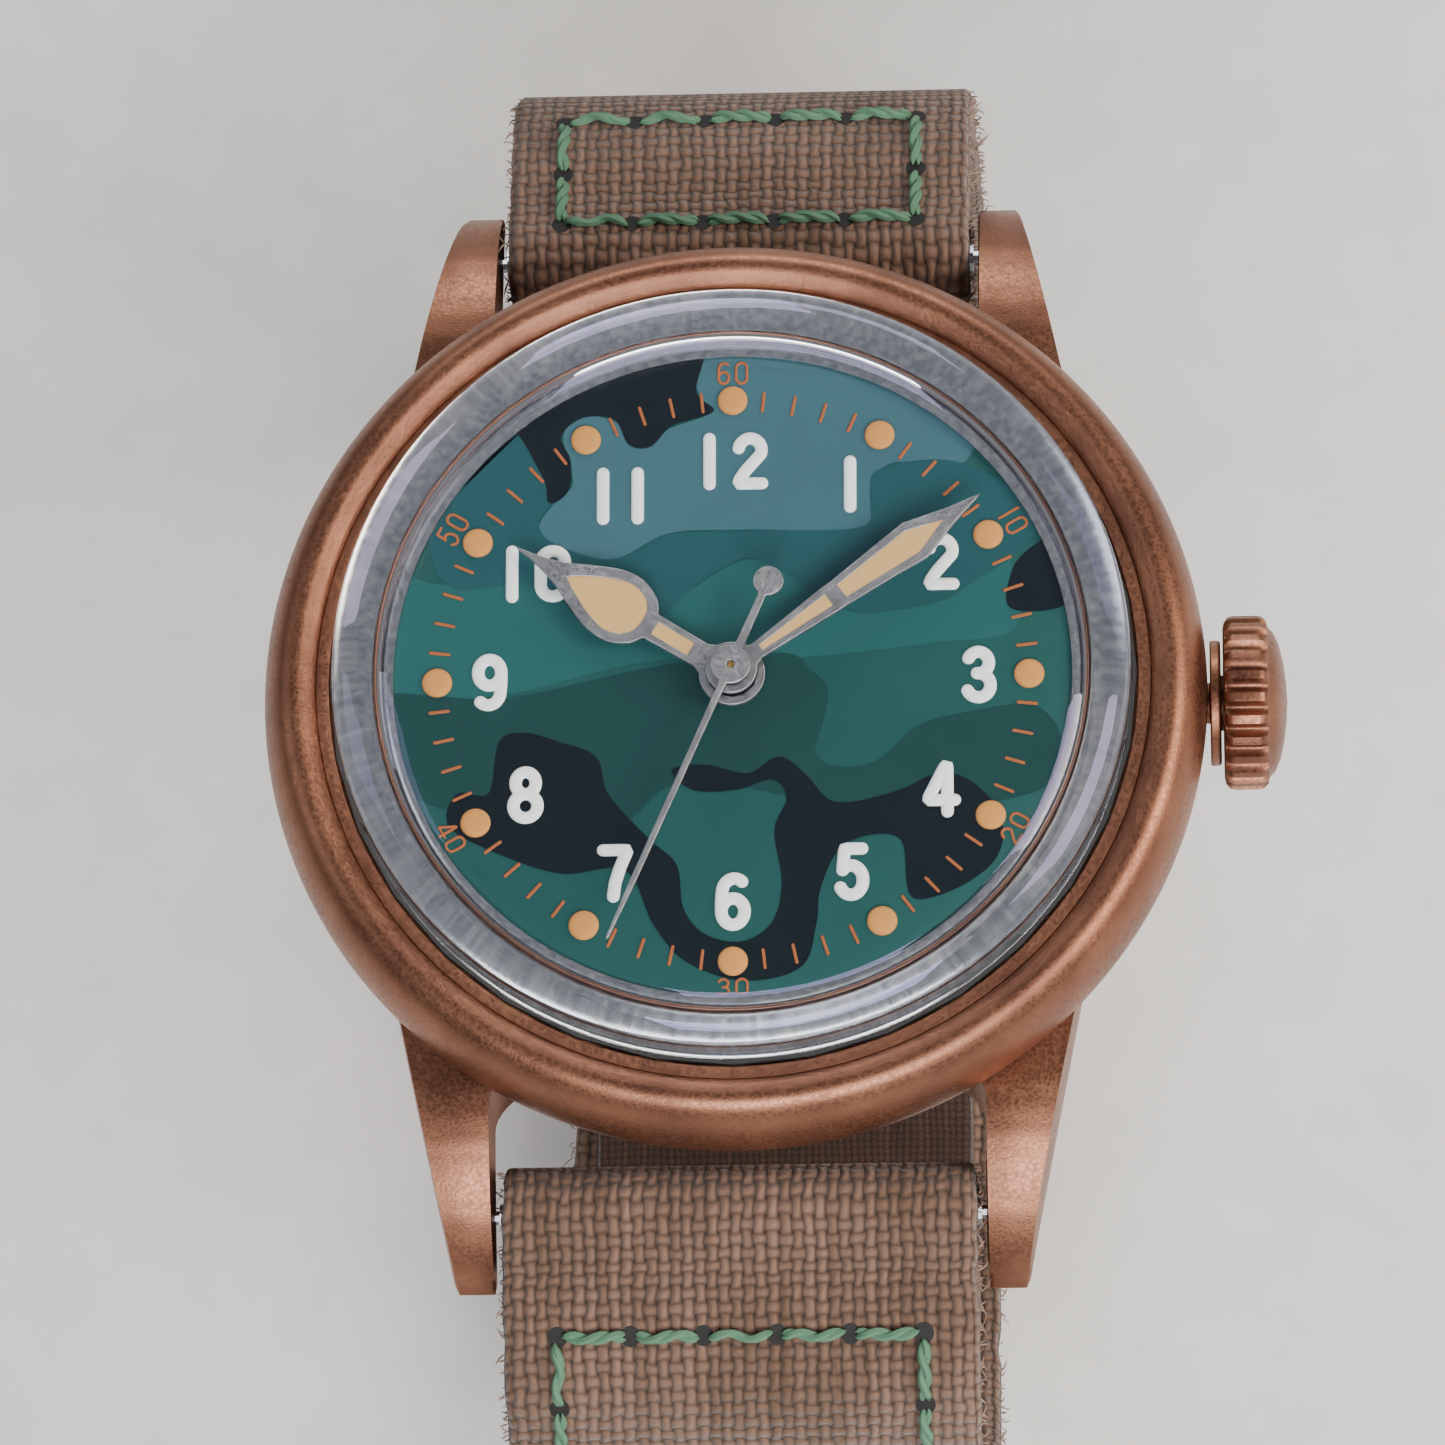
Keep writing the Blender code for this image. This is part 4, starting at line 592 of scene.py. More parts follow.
HOUR_ANGLE, MINUTE_ANGLE, SECONDS_ANGLE = 302.4, 54.2, 203.3
HOUR_Z, MINUTE_Z, SECONDS_Z, HAND_T = 8.15, 8.75, 9.3, 0.2
sandblasted = blasted("sandblasted steel", "#98989a", "#818184", grit=0.09, roughness=0.42, patch=2.0)


def both_sides(side):
    """A closed outline from its right-hand half, given from the tip to the tail."""
    side = np.asarray(side, float)
    first, last = int(side[-1, 0] == 0), len(side) - int(side[0, 0] == 0)
    return np.concatenate([side, (side * (-1, 1))[::-1][first:last]])


def ring_about(radius, start, end, steps, y=0.0):
    """Points on a circle about (0, y), evenly from one angle to another in degrees."""
    return bow(0.0, y, radius, radius, start, end, steps)


def stamped(name, outlines, low, angle, material, body, thick=HAND_T, bevel=0.03):
    """A plate with holes: flat filled outlines, thickened with a small chamfer on both faces, made a mesh
    and then turned clockwise from 12 by angle."""
    plate = bpy.data.curves.new(name, "CURVE")
    plate.dimensions, plate.fill_mode = "2D", "BOTH"
    plate.extrude, plate.bevel_depth, plate.bevel_resolution = (thick / 2 - bevel) * MM, bevel * MM, 1
    plate.offset = -bevel * MM
    for outline in outlines:
        spline = plate.splines.new("POLY")
        spline.points.add(len(outline) - 1)
        spline.points.foreach_set("co", np.column_stack(
            [outline * MM, np.zeros(len(outline)), np.ones(len(outline))]).astype(np.float32).ravel())
        spline.use_cyclic_u = True
    holder = bpy.data.objects.new(name + "_flat", plate)
    bpy.context.scene.collection.objects.link(holder)
    bpy.context.view_layer.update()
    graph = bpy.context.evaluated_depsgraph_get()
    mesh = bpy.data.meshes.new_from_object(holder.evaluated_get(graph))
    bpy.data.objects.remove(holder)
    count = len(mesh.vertices)
    points = np.empty(count * 3, np.float32)
    mesh.vertices.foreach_get("co", points)
    points = points.reshape(-1, 3)
    spin = np.radians(-angle)
    turned_by = np.array([[np.cos(spin), -np.sin(spin)], [np.sin(spin), np.cos(spin)]])
    points[:, :2] = points[:, :2] @ turned_by.T
    points[:, 2] += (low + thick / 2) * MM
    mesh.vertices.foreach_set("co", points.ravel())
    shape = bmesh.new()
    shape.from_mesh(mesh)
    bmesh.ops.remove_doubles(shape, verts=shape.verts, dist=1e-6)
    bmesh.ops.recalc_face_normals(shape, faces=shape.faces)
    shape.to_mesh(mesh)
    shape.free()
    mesh.name = name
    mesh.materials.clear()
    mesh.materials.append(material)
    made = bpy.data.objects.new(name, mesh)
    bpy.context.scene.collection.objects.link(made)
    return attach(made, body)


def waist(points, steps=6):
    """An open Catmull-Rom curve through the points, which keeps its two ends."""
    p = np.asarray(points, float)
    whole = through(np.concatenate([p, p[-1:] + (p[-1:] - p[-2:-1]), p[:1] + (p[:1] - p[1:2])]), steps)
    return whole[:(len(p) - 1) * steps + 1]


blade = waist([(0.02, 10.45), (0.2, 9.4), (0.5, 8.4), (1.02, 7.3), (1.46, 6.2), (1.5, 5.2), (1.12, 4.35),
               (0.58, 3.95)])
hour_side = np.concatenate([[(0, 10.5)], blade, [(0.55, 1.5)], ring_about(1.36, 58, -90, 22)])
tear = both_sides(np.concatenate([
    waist([(0, 8.05), (0.42, 7.4), (0.86, 6.5), (1.12, 5.6), (0.95, 4.85), (0.5, 4.45), (0, 4.36)])]))
slot_in = np.array([(-0.3, 3.75), (0.3, 3.75), (0.3, 2.0), (-0.3, 2.0)])
hour = stamped("windowed_hour_hand", [both_sides(hour_side), tear, slot_in, ring_about(0.35, 0, 345, 24)],
               HOUR_Z, HOUR_ANGLE, sandblasted, "hour_hand")
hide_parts("hour_hand")

minute_side = np.concatenate([line((0, 12.6), (0.12, 12.1), (0.32, 11.2), (0.9, 9.3), (0.62, 5.5), (0.6, 5.0),
                                   (0.36, 1.3)), ring_about(1.05, 62, -90, 18)])
spear = both_sides([(0, 10.75), (0.55, 9.15), (0.32, 5.6)])
channel = both_sides([(0.3, 4.95), (0.12, 1.5)])
minute = stamped("windowed_minute_hand",
                 [both_sides(minute_side), spear, channel, ring_about(0.3, 0, 345, 24)],
                 MINUTE_Z, MINUTE_ANGLE, sandblasted, "minute_hand")
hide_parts("minute_hand")

# The paint stands a hair below the face of its window and reaches under the window's edge.
for name, outlines, low, angle, body in (
    ("hour_hand_paint", [tear * (1.04, 1.0), slot_in * (1.08, 1.0)], HOUR_Z, HOUR_ANGLE, "hour_hand"),
    ("minute_hand_paint", [spear * (1.06, 1.0), channel * (1.1, 1.0)], MINUTE_Z, MINUTE_ANGLE, "minute_hand"),
):
    cream = luminous(f"cream window paint of {body}", "#d3a765")
    fill = stamped(name, outlines, low + 0.03, angle, cream, body, thick=0.13, bevel=0.01)

needle = np.concatenate([line((0, 12.7), (0.06, 12.6), (0.12, 10.0), (0.14, 1.0)),
                         ring_about(0.82, 78, -78, 18), line((0.15, -3.2)),
                         ring_about(0.62, 72, -90, 16, y=-3.9)])
seconds = stamped("balanced_seconds_hand", [both_sides(needle), ring_about(0.17, 0, 345, 16)],
                  SECONDS_Z, SECONDS_ANGLE, sandblasted, "seconds_hand")
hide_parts("seconds_hand")
boss = eased([(0.17, SECONDS_Z + 0.04), (0.4, SECONDS_Z + 0.04), (0.4, SECONDS_Z - 0.15),
              (0.17, SECONDS_Z - 0.15)],
             0.02, 3)
pipe = solid("seconds_pipe", turned(boss, 40), polished_steel, body="seconds_hand", closed=True)
# ---- strap ----
# Two pieces of heavy canvas, doubled over the spring bars and the buckle pin and backed with dark
# lining. Green waxed thread holds each fold with a stitched box. The cut edges have begun to fray.

STRAP_W, CANVAS_T, LINING_W, LINING_T, SEAM, FLAP = 19.6, 1.2, 17.2, 1.0, 0.1, 7.0
BAR_Y, BAR_Z, BAR_R, PIN_Y, PIN_Z, PIN_R, TAIL_GAP = 21.0, 1.5, 0.75, 9.0, -41.0, 0.8, 2.8
CANVAS_OFF, LINING_OFF = SEAM / 2 + CANVAS_T / 2, SEAM / 2 + LINING_T / 2
BAR_FOLD_R, PIN_FOLD_R = BAR_R + SEAM + CANVAS_T / 2, PIN_R + SEAM + CANVAS_T / 2


def spaced(points, step):
    """The same open line with points at an even step along it."""
    points = np.asarray(points, float)
    run = np.concatenate([[0], np.cumsum(np.linalg.norm(np.diff(points, axis=0), axis=1))])
    at = np.linspace(0, run[-1], int(round(run[-1] / step)) + 1)
    return np.stack([np.interp(at, run, points[:, i]) for i in (0, 1)], axis=1)


def beside(path, distance):
    """The line moved to its left-hand side by a distance."""
    ahead = np.gradient(path, axis=0)
    ahead /= np.linalg.norm(ahead, axis=1)[:, None]
    return path + np.stack([-ahead[:, 1], ahead[:, 0]], axis=1) * distance


short_mid = spaced(waist([
    (23.4, 1.4), (25.6, 0.9), (27.9, -0.6), (29.5, -3.6), (30.7, -8.0), (31.8, -14.0), (32.8, -21.0),
    (32.9, -28.0), (31.6, -34.5), (28.6, -39.0), (24.3, PIN_Z), (PIN_Y + 10, PIN_Z),
    (PIN_Y + 2.6, PIN_Z)], 12), 0.5)
tail = beside(short_mid, TAIL_GAP)
tail = tail[(tail[:, 1] < -36.0) & (tail[:, 0] > PIN_Y + 5.0)][::-1]
long_mid = spaced(waist([
    (-23.4, 1.4), (-25.6, 0.9), (-27.9, -0.6), (-29.5, -3.6), (-30.3, -8.0), (-30.5, -13.0), (-29.4, -20.0),
    (-26.6, -28.0), (-22.0, -35.0), (-17.0, -39.0), (-11.0, -40.9), (PIN_Y - 11.0, -41.4),
    (PIN_Y - 7.0, -42.3), (PIN_Y - 3.2, -43.7), (PIN_Y, -44.5),
    *tail[::8]], 12), 0.5)


def fold(centre, radius, start, end):
    """The cloth's turn round a bar: 24 points on a circle from one angle to another in degrees."""
    return bow(*centre, radius, radius, start, end, 24)


n = int(FLAP / 0.5) + 1
outer, inner = beside(short_mid, CANVAS_OFF), beside(short_mid, -CANVAS_OFF)
short_route = spaced(np.concatenate([inner[:n][::-1], fold((BAR_Y, BAR_Z), BAR_FOLD_R, 290, 70), outer,
                                     fold((PIN_Y, PIN_Z), PIN_FOLD_R, -70, -290), inner[-n:][::-1]]), 0.33)
outer, inner = beside(long_mid, -CANVAS_OFF), beside(long_mid, CANVAS_OFF)
long_route = spaced(np.concatenate([inner[:n][::-1], fold((-BAR_Y, BAR_Z), BAR_FOLD_R, -110, 110),
                                    outer]), 0.33)


def normals(route):
    """The unit normals of a route in a plane: its direction at each point, turned a quarter to the left."""
    ahead = np.gradient(route, axis=0)
    ahead /= np.linalg.norm(ahead, axis=1)[:, None]
    return np.stack([-ahead[:, 1], ahead[:, 0]], axis=1)


def strip(route, width, thick, wander, soft):
    """A band of cloth: a flat box section with soft edges carried along a route in the YZ plane. Its edges
    wander in and out by a smoothed random walk, and its ends close. Returns the grid and its UV map, in
    millimetres across and along the cloth."""
    m = len(route)
    half, thin = width / 2, thick / 2
    turn = np.radians(np.linspace(-90, 90, 7))
    rim = np.stack([half - soft + soft * np.cos(turn), (thin) * np.sin(turn)], axis=1)
    flat_x = np.linspace(half - soft, -(half - soft), 40)[1:-1]
    section = np.concatenate([rim, np.stack([flat_x, np.full(38, thin)], 1), rim[::-1] * (-1, 1),
                              np.stack([flat_x[::-1], np.full(38, -thin)], 1)])
    drift = np.convolve(rng.normal(0, 1, (m + 40)), np.hanning(9) / 3.0, "same")[20:-20] * wander
    other = np.convolve(rng.normal(0, 1, (m + 40)), np.hanning(9) / 3.0, "same")[20:-20] * wander
    edge = np.where(section[:, 0] > 0, 1, -1) * (np.abs(section[:, 0]) / half) ** 6
    x = section[None, :, 0] - np.abs(np.where(edge > 0, drift[:, None], other[:, None])) * edge
    up = normals(route)
    yz = route[:, None] + up[:, None] * section[None, :, 1, None]
    grid = np.concatenate([x[..., None], yz], axis=-1)
    run = np.concatenate([[0], np.cumsum(np.linalg.norm(np.diff(route, axis=0), axis=1))])
    girth = np.concatenate([[0], np.cumsum(np.linalg.norm(np.diff(section, axis=0), axis=1))])
    size = (m, len(girth))
    uv = np.stack([np.broadcast_to(girth, size), np.broadcast_to(run[:, None], size)], -1)
    ends = [np.array([0, *route[i]]) for i in (0, -1)]
    close = [(end + (ring - end) * (1, 0, 0))[None] for end, ring in zip(ends, (grid[0], grid[-1]))]
    point = [np.broadcast_to(end, grid[0].shape)[None] for end in ends]
    grid = np.concatenate([point[0], close[0], grid, close[1], point[1]])
    return grid, np.concatenate([uv[:1], uv[:1], uv, uv[-1:], uv[-1:]])


def woven(name, light, dark, gap_shade, pitch, depth, fuzz=0.25):
    """Plain-woven cloth, read from the piece's UV map in millimetres. Each thread is a rounded ridge, the
    size of half a sine, and lies over and under in turn; the higher of warp and weft shows. Threads wander
    and differ in tone, and hairs roughen them. The low ground between threads takes a dark painted shade."""
    made, tree, shader = finish(name, Roughness=0.92, Sheen_Weight=0.25, Sheen_Roughness=0.5)
    shader.inputs["Specular IOR Level"].default_value = 0.15
    place = add(tree, "UVMap", uv_map="weave").outputs["UV"]
    wander = add(tree, "TexNoise", ("Vector", place), Scale=0.55, Detail=3.0)
    push = add(tree, "VectorMath", (0, wander.outputs["Color"]), operation="SUBTRACT")
    push.inputs[1].default_value = (0.5, 0.5, 0.5)
    soft = add(tree, "VectorMath", (0, push.outputs[0]), operation="SCALE", Scale=pitch * 0.9)
    bent = add(tree, "VectorMath", (0, place), (1, soft.outputs[0]), operation="ADD")
    axes = add(tree, "SeparateXYZ", ("Vector", bent.outputs[0]))

    wave = []
    for i, p in ((0, pitch), (1, pitch * 1.15)):
        phase = add(tree, "Math", (0, axes.outputs[i]), operation="MULTIPLY")
        phase.inputs[1].default_value = np.pi / p
        wave.append(add(tree, "Math", (0, phase.outputs[0]), operation="SINE").outputs[0])
    over = add(tree, "Math", (0, wave[0]), (1, wave[1]), operation="MULTIPLY").outputs[0]
    sets = []
    for w, swing, rest in ((wave[0], 0.42, 0.62), (wave[1], -0.42, 0.5)):
        size = add(tree, "Math", (0, w), operation="ABSOLUTE")
        ridge = add(tree, "Math", (0, size.outputs[0]), operation="POWER")
        ridge.inputs[1].default_value = 0.6
        lift = add(tree, "Math", (0, over), operation="MULTIPLY_ADD")
        lift.inputs[1].default_value, lift.inputs[2].default_value = swing, rest
        laid = add(tree, "Math", (0, ridge.outputs[0]), (1, lift.outputs[0]), operation="MULTIPLY")
        sets.append(laid.outputs[0])
    height = add(tree, "Math", (0, sets[0]), (1, sets[1]), operation="MAXIMUM").outputs[0]
    hair_place = add(tree, "Mapping", ("Vector", bent.outputs[0]))
    hair_place.inputs["Scale"].default_value = (9.0, 2.6, 1.0)
    hairs = add(tree, "TexNoise", ("Vector", hair_place.outputs[0]), Scale=1.6, Detail=5.0, Roughness=0.7)
    cells = add(tree, "Mapping", ("Vector", place))
    cells.inputs["Scale"].default_value = (1 / pitch, 0.12, 1.0)
    yarn = add(tree, "TexNoise", ("Vector", cells.outputs[0]), Scale=1.0, Detail=2.0)
    age = add(tree, "TexNoise", ("Vector", place), Scale=0.12, Detail=5.0)
    worn = add(tree, "Math", (0, age.outputs["Fac"]), operation="MULTIPLY")
    worn.inputs[1].default_value = 0.5
    shade = add(tree, "Math", (0, yarn.outputs["Fac"]), (2, worn.outputs[0]), operation="MULTIPLY_ADD")
    shade.inputs[1].default_value = 0.5
    tone = add(tree, "ValToRGB", ("Fac", shade.outputs[0]))
    tone.color_ramp.elements[0].position, tone.color_ramp.elements[1].position = 0.36, 0.66
    tone.color_ramp.elements[0].color, tone.color_ramp.elements[1].color = hexed(dark), hexed(light)
    # The low parts between threads are mixed towards a dark colour: painted shade in the gaps of the weave.
    lit = add(tree, "MapRange", ("Value", height), From_Min=0.12, From_Max=0.75, To_Min=0.0, To_Max=1.0)
    mix = add(tree, "Mix", data_type="RGBA")
    mix.inputs[6].default_value = hexed(gap_shade)
    tree.links.new(lit.outputs["Result"], mix.inputs[0])
    tree.links.new(tone.outputs["Color"], mix.inputs[7])
    whole = add(tree, "Math", (0, hairs.outputs["Fac"]), (2, height), operation="MULTIPLY_ADD")
    whole.inputs[1].default_value = fuzz
    bump = add(tree, "Bump", ("Height", whole.outputs[0]), Strength=0.9, Distance=depth * MM)
    tree.links.new(mix.outputs[2], shader.inputs["Base Color"])
    tree.links.new(bump.outputs["Normal"], shader.inputs["Normal"])
    return made


# Cotton canvas, dyed brown and faded: coarse twisted threads, half a millimetre apart.
# The third colour of each cloth is painted shade for the gaps between its threads.
canvas = woven("faded brown cotton canvas", "#86695a", "#604939", "#1f1612", pitch=0.5, depth=0.28)
lining = woven("dark brown suede lining", "#4a352b", "#33241d", "#1a120e", pitch=0.3, depth=0.06, fuzz=0.6)
for name, route, node in (("short_canvas", short_route, "strap_twelve_canvas"),
                          ("long_canvas", long_route, "strap_six_canvas")):
    grid, uv = strip(route, STRAP_W, CANVAS_T, 0.10, 0.28)
    made = solid(name, grid, canvas, uv=uv, angle=75)
    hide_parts(node)
for name, mid, side, ends, node in (
    ("short_lining", short_mid, -1, slice(n, -n), "strap_twelve_lining"),
    ("long_lining", long_mid, 1, slice(n, None), "strap_six_lining"),
):
    grid, uv = strip(spaced(beside(mid, side * LINING_OFF)[ends], 0.6), LINING_W, LINING_T, 0.05, 0.4)
    made = solid(name, grid, lining, uv=uv, angle=75)
    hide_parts(node)


def threads(paths, radius, up, ring=6):
    """Tubes round many paths at once. paths is (k, m, 3). A tube's own size tapers to nothing at its ends."""
    paths = np.asarray(paths, float)
    ahead = np.gradient(paths, axis=1)
    ahead /= np.linalg.norm(ahead, axis=2, keepdims=True) + 1e-9
    side = np.cross(ahead, up)
    side /= np.linalg.norm(side, axis=2, keepdims=True) + 1e-9
    lift = np.cross(side, ahead)
    turn = np.linspace(0, 2 * np.pi, ring, endpoint=False)
    size = np.ones(paths.shape[1])
    size[0] = size[-1] = 0.0
    size[1] = size[-2] = 0.7
    size = size[None, :, None, None] * np.broadcast_to(radius, len(paths))[:, None, None, None]
    return (paths[:, :, None] + side[:, :, None] * np.cos(turn)[:, None] * size
            + lift[:, :, None] * np.sin(turn)[:, None] * size)


def on_cloth(route, side, across, along, lift):
    """Points a lift above the cloth's outer face, across and along it. side tells which side is out."""
    run = np.concatenate([[0], np.cumsum(np.linalg.norm(np.diff(route, axis=0), axis=1))])
    out = normals(route) * side
    at = [np.interp(along, run, values) for values in (*route.T, *out.T)]
    reach = CANVAS_T / 2 + lift
    wide = np.broadcast_to(across, np.shape(along))
    return np.stack([wide, at[0] + at[2] * reach, at[1] + at[3] * reach], axis=-1)


# Waxed linen thread, two strands twisted, in stitches of 3 mm. Each dips into its needle holes.
STITCH, STRAND_R = 3.05, 0.17
waxed = luminous("waxed green linen thread", "#4b7358", grain=0.2)
hole_shade = luminous("shadowed needle hole", "#0b0908")


def stitched(route, side, start, end, half):
    """The stitches of one box, from start to end along the route and half to either side of its middle: two
    strands that wind about each stitch's line, which arches between its holes."""
    corner = np.array([(-half, start), (half, start), (half, end), (-half, end), (-half, start)], float)
    paths, holes = [], []
    for a, b in zip(corner, corner[1:]):
        count = max(int(round(np.linalg.norm(b - a) / STITCH)), 1)
        begin = a + (b - a) * (np.arange(count) / count)[:, None]
        finish_at = a + (b - a) * ((np.arange(count) + 1) / count)[:, None]
        holes.append(begin)
        t = np.linspace(0.05, 0.95, 16)
        for phase in (0.0, np.pi):
            wind = phase + t * 2 * np.pi * 1.6 + rng.uniform(0, 3, count)[:, None]
            core = begin[:, None] + (finish_at - begin)[:, None] * t[None, :, None]
            cross = np.array([-(b - a)[1], (b - a)[0]]) / np.linalg.norm(b - a)
            core = core + cross * (STRAND_R * 0.75 * np.cos(wind))[..., None]
            lift = 0.14 + 0.12 * np.sin(np.pi * t) + STRAND_R * 0.6 * np.sin(wind)
            lift = lift - 0.5 * (np.abs(t - 0.5) * 2) ** 8
            paths.append(on_cloth(route, side, core[..., 0], core[..., 1], lift))
    return np.concatenate(paths), np.concatenate(holes)


boxes = []
pricks = []
length = (n - 1) * 0.5 + np.radians(220) * BAR_FOLD_R
for route, side, start, end in ((short_route, 1, length + 1.7, length + 7.4),
                                (long_route, -1, length + 6.0, length + 14.6)):
    paths, holes = stitched(route, side, start, end, 7.5)
    boxes.append(threads(paths, STRAND_R, np.array([0.02, 0.1, 1.0])))
    turn = np.linspace(0, 2 * np.pi, 12, endpoint=False)
    for size, lift in ((0.42, 0.015), (0.0, 0.02)):
        pricks.append(on_cloth(route, side, holes[:, :1] + size * np.cos(turn),
                               holes[:, 1:] + size * np.sin(turn), lift))
stitches = solid("box_stitches", np.concatenate(boxes), waxed)
rings = np.concatenate([np.stack([pricks[0], pricks[1]], 1), np.stack([pricks[2], pricks[3]], 1)])
needle_holes = solid("needle_holes", rings, hole_shade)


def frayed(route, side, count, length_range):
    """Loose fibres along both edges: each leaves the cloth, bends by a random parabola and droops, so that
    the edge looks soft."""
    run = np.linalg.norm(np.diff(route, axis=0), axis=1).sum()
    at = rng.uniform(0.5, run - 0.5, count)
    edge = rng.choice([-1.0, 1.0], count)
    reach = rng.uniform(*length_range, count)
    t = np.linspace(0, 1, 6)
    slide = rng.normal(0, 0.5, count) * reach
    lift = rng.normal(0.05, 0.22, count) * reach
    x = edge[:, None] * (STRAP_W / 2 - 0.15 + reach[:, None] * t * (1 - 0.3 * t) * 0.8)
    along = np.clip(at[:, None] + slide[:, None] * t**1.5, 0.1, run - 0.1)
    curl = lift[:, None] * t**2 + 0.12 * reach[:, None] * np.sin(3 * t)
    high = -rng.uniform(0.1, 1.1, count)[:, None] + curl
    return on_cloth(route, side, x, along, high)


fibres = np.concatenate([frayed(short_route, 1, 900, (0.2, 0.75)), frayed(long_route, -1, 900, (0.2, 0.75)),
                         frayed(short_route, 1, 60, (0.7, 1.3)), frayed(long_route, -1, 60, (0.7, 1.3))])
fibre_grids = threads(fibres, rng.uniform(0.02, 0.045, len(fibres)), np.array([0.3, 0.2, 1.0]), 4)
loose = solid("frayed_fibres", fibre_grids, luminous("loose cotton fibre", "#8b7163"))

# ---- keepers ----
# Two loops of the same canvas, seamed inside. One is sewn to the long piece's lining, the other slides.


def loop_round(y, wide=4.0, thick=1.0):
    """A closed box route in the XZ plane with rounded corners, that carries a flat section with soft edges.
    Returns the grid and the UV map of its weave."""
    out_x, high, low = STRAP_W / 2 + 0.3 + thick / 2, PIN_Z + 2.3 - thick / 2, PIN_Z - 5.9 + thick / 2
    route = eased([(out_x, high), (-out_x, high), (-out_x, low), (out_x, low)], 1.3, 9)
    route = spaced(np.concatenate([route, route[:1]]), 0.3)[:-1]
    ahead = np.roll(route, -1, 0) - np.roll(route, 1, 0)
    ahead /= np.linalg.norm(ahead, axis=1)[:, None]
    out = np.stack([ahead[:, 1], -ahead[:, 0]], axis=1)
    x, y_half = wide / 2, thick / 2
    section = eased([(x, y_half), (-x, y_half), (-x, -y_half), (x, -y_half)],
                    0.3, 5)
    section = spaced(np.concatenate([section, section[:1]]), 0.3)[:-1]
    xz = route[:, None] + out[:, None] * section[None, :, 1, None]
    across = np.broadcast_to(y + wide / 2 + section[:, 0], xz.shape[:2])
    grid = np.stack([xz[..., 0], across, xz[..., 1]], axis=-1)
    steps = [np.arange(len(path)) * 0.3 for path in (route, section)]
    return grid, np.stack(np.meshgrid(*steps, indexing="ij")[::-1], -1)


for node, y, body in (("fixed_keeper", PIN_Y + 4.6, "head"),
                      ("sliding_keeper", PIN_Y + 9.4, "sliding_keeper")):
    grid, uv = loop_round(y)
    made = solid(node.replace("keeper", "canvas_loop"), grid, canvas, body, closed=True, uv=uv, angle=75)
    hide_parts(node)

# ---- buckle ----
# The buckle is bent from bronze wire and turns on a steel pin in the short piece's fold, with a
# tongue of thinner wire that is curled about the same pin.

NEAR, FAR_Y, FAR_Z, FRAME_R, FRAME_X = PIN_Y + 1.4, PIN_Y - 10.4, -44.1, 1.1, 12.2


def bent_wire(route, radius, up, ring=20, corner=1.4):
    """A tube along a route whose corners are parabolas. Each end is a dome a third of a radius high."""
    path = np.asarray(route, float)
    a, b, c = path[:-2], path[1:-1], path[2:]
    cut_in = np.minimum(corner, 0.45 * np.linalg.norm(a - b, axis=1))[:, None]
    cut_out = np.minimum(corner, 0.45 * np.linalg.norm(c - b, axis=1))[:, None]
    start = b + (a - b) / np.linalg.norm(a - b, axis=1)[:, None] * cut_in
    end = b + (c - b) / np.linalg.norm(c - b, axis=1)[:, None] * cut_out
    t = np.linspace(0, 1, 7)[None, :, None]
    bends = (1 - t) ** 2 * start[:, None] + 2 * t * (1 - t) * b[:, None] + t**2 * end[:, None]
    bends = bends.reshape(-1, 3)
    path = np.concatenate([path[:1], bends, path[-1:]])
    ahead = np.gradient(path, axis=0)
    ahead /= np.linalg.norm(ahead, axis=1)[:, None]
    cap = np.linspace(0, np.pi / 2, 5)
    last = path[-1] - ahead[-1] * (0.33 * radius * (1 - np.cos(cap)))[::-1, None]
    first = path[0] + ahead[0] * (0.33 * radius * (1 - np.cos(cap)))[:, None]
    size = np.concatenate([np.sin(cap), np.ones(len(path) - 2), np.sin(cap)[::-1]]) * radius
    path = np.concatenate([first, path[1:-1], last])
    ahead = np.concatenate([np.repeat(ahead[:1], 5, 0), ahead[1:-1], np.repeat(ahead[-1:], 5, 0)])
    side = np.cross(ahead, up)
    side /= np.linalg.norm(side, axis=1)[:, None]
    lift = np.cross(side, ahead)
    turn = np.linspace(0, 2 * np.pi, ring, endpoint=False)[None, :, None]
    return path[:, None] + (side[:, None] * np.cos(turn) + lift[:, None] * np.sin(turn)) * size[:, None, None]


frame_route = [(-FRAME_X, NEAR, PIN_Z), (-FRAME_X, PIN_Y - 3, PIN_Z - 0.5), (-FRAME_X, FAR_Y + 1.2, FAR_Z),
               (-FRAME_X + 2.2, FAR_Y, FAR_Z), (FRAME_X - 2.2, FAR_Y, FAR_Z), (FRAME_X, FAR_Y + 1.2, FAR_Z),
               (FRAME_X, PIN_Y - 3, PIN_Z - 0.5), (FRAME_X, NEAR, PIN_Z)]
buckle = solid("wire_buckle", bent_wire(frame_route, FRAME_R, np.array([0.0, 0.0, 1.0])), blasted_bronze,
               "buckle_frame")
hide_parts("buckle_frame")

tongue_route = [(0, PIN_Y - PIN_R - 0.5, PIN_Z - 0.4), (0, PIN_Y - 4.0, -42.9), (0, PIN_Y - 7.5, -44.6),
                (0, FAR_Y, FAR_Z - FRAME_R - 0.75), (0, FAR_Y - 1.6, FAR_Z - FRAME_R - 0.5)]
eye = eased([(PIN_R + 0.05, 1.0), (PIN_R + 0.9, 1.0), (PIN_R + 0.9, -1.0), (PIN_R + 0.05, -1.0)], 0.2, 4)
tongue = together("wire_tongue", [bent_wire(tongue_route, 0.6, np.array([1.0, 0.0, 0.0]), 16)],
                  blasted_bronze, "buckle_tongue")
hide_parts("buckle_tongue")
curl = solid("tongue_curl", turned(eye, 40, "X", (0, PIN_Y, PIN_Z)), blasted_bronze, "buckle_tongue",
             closed=True)

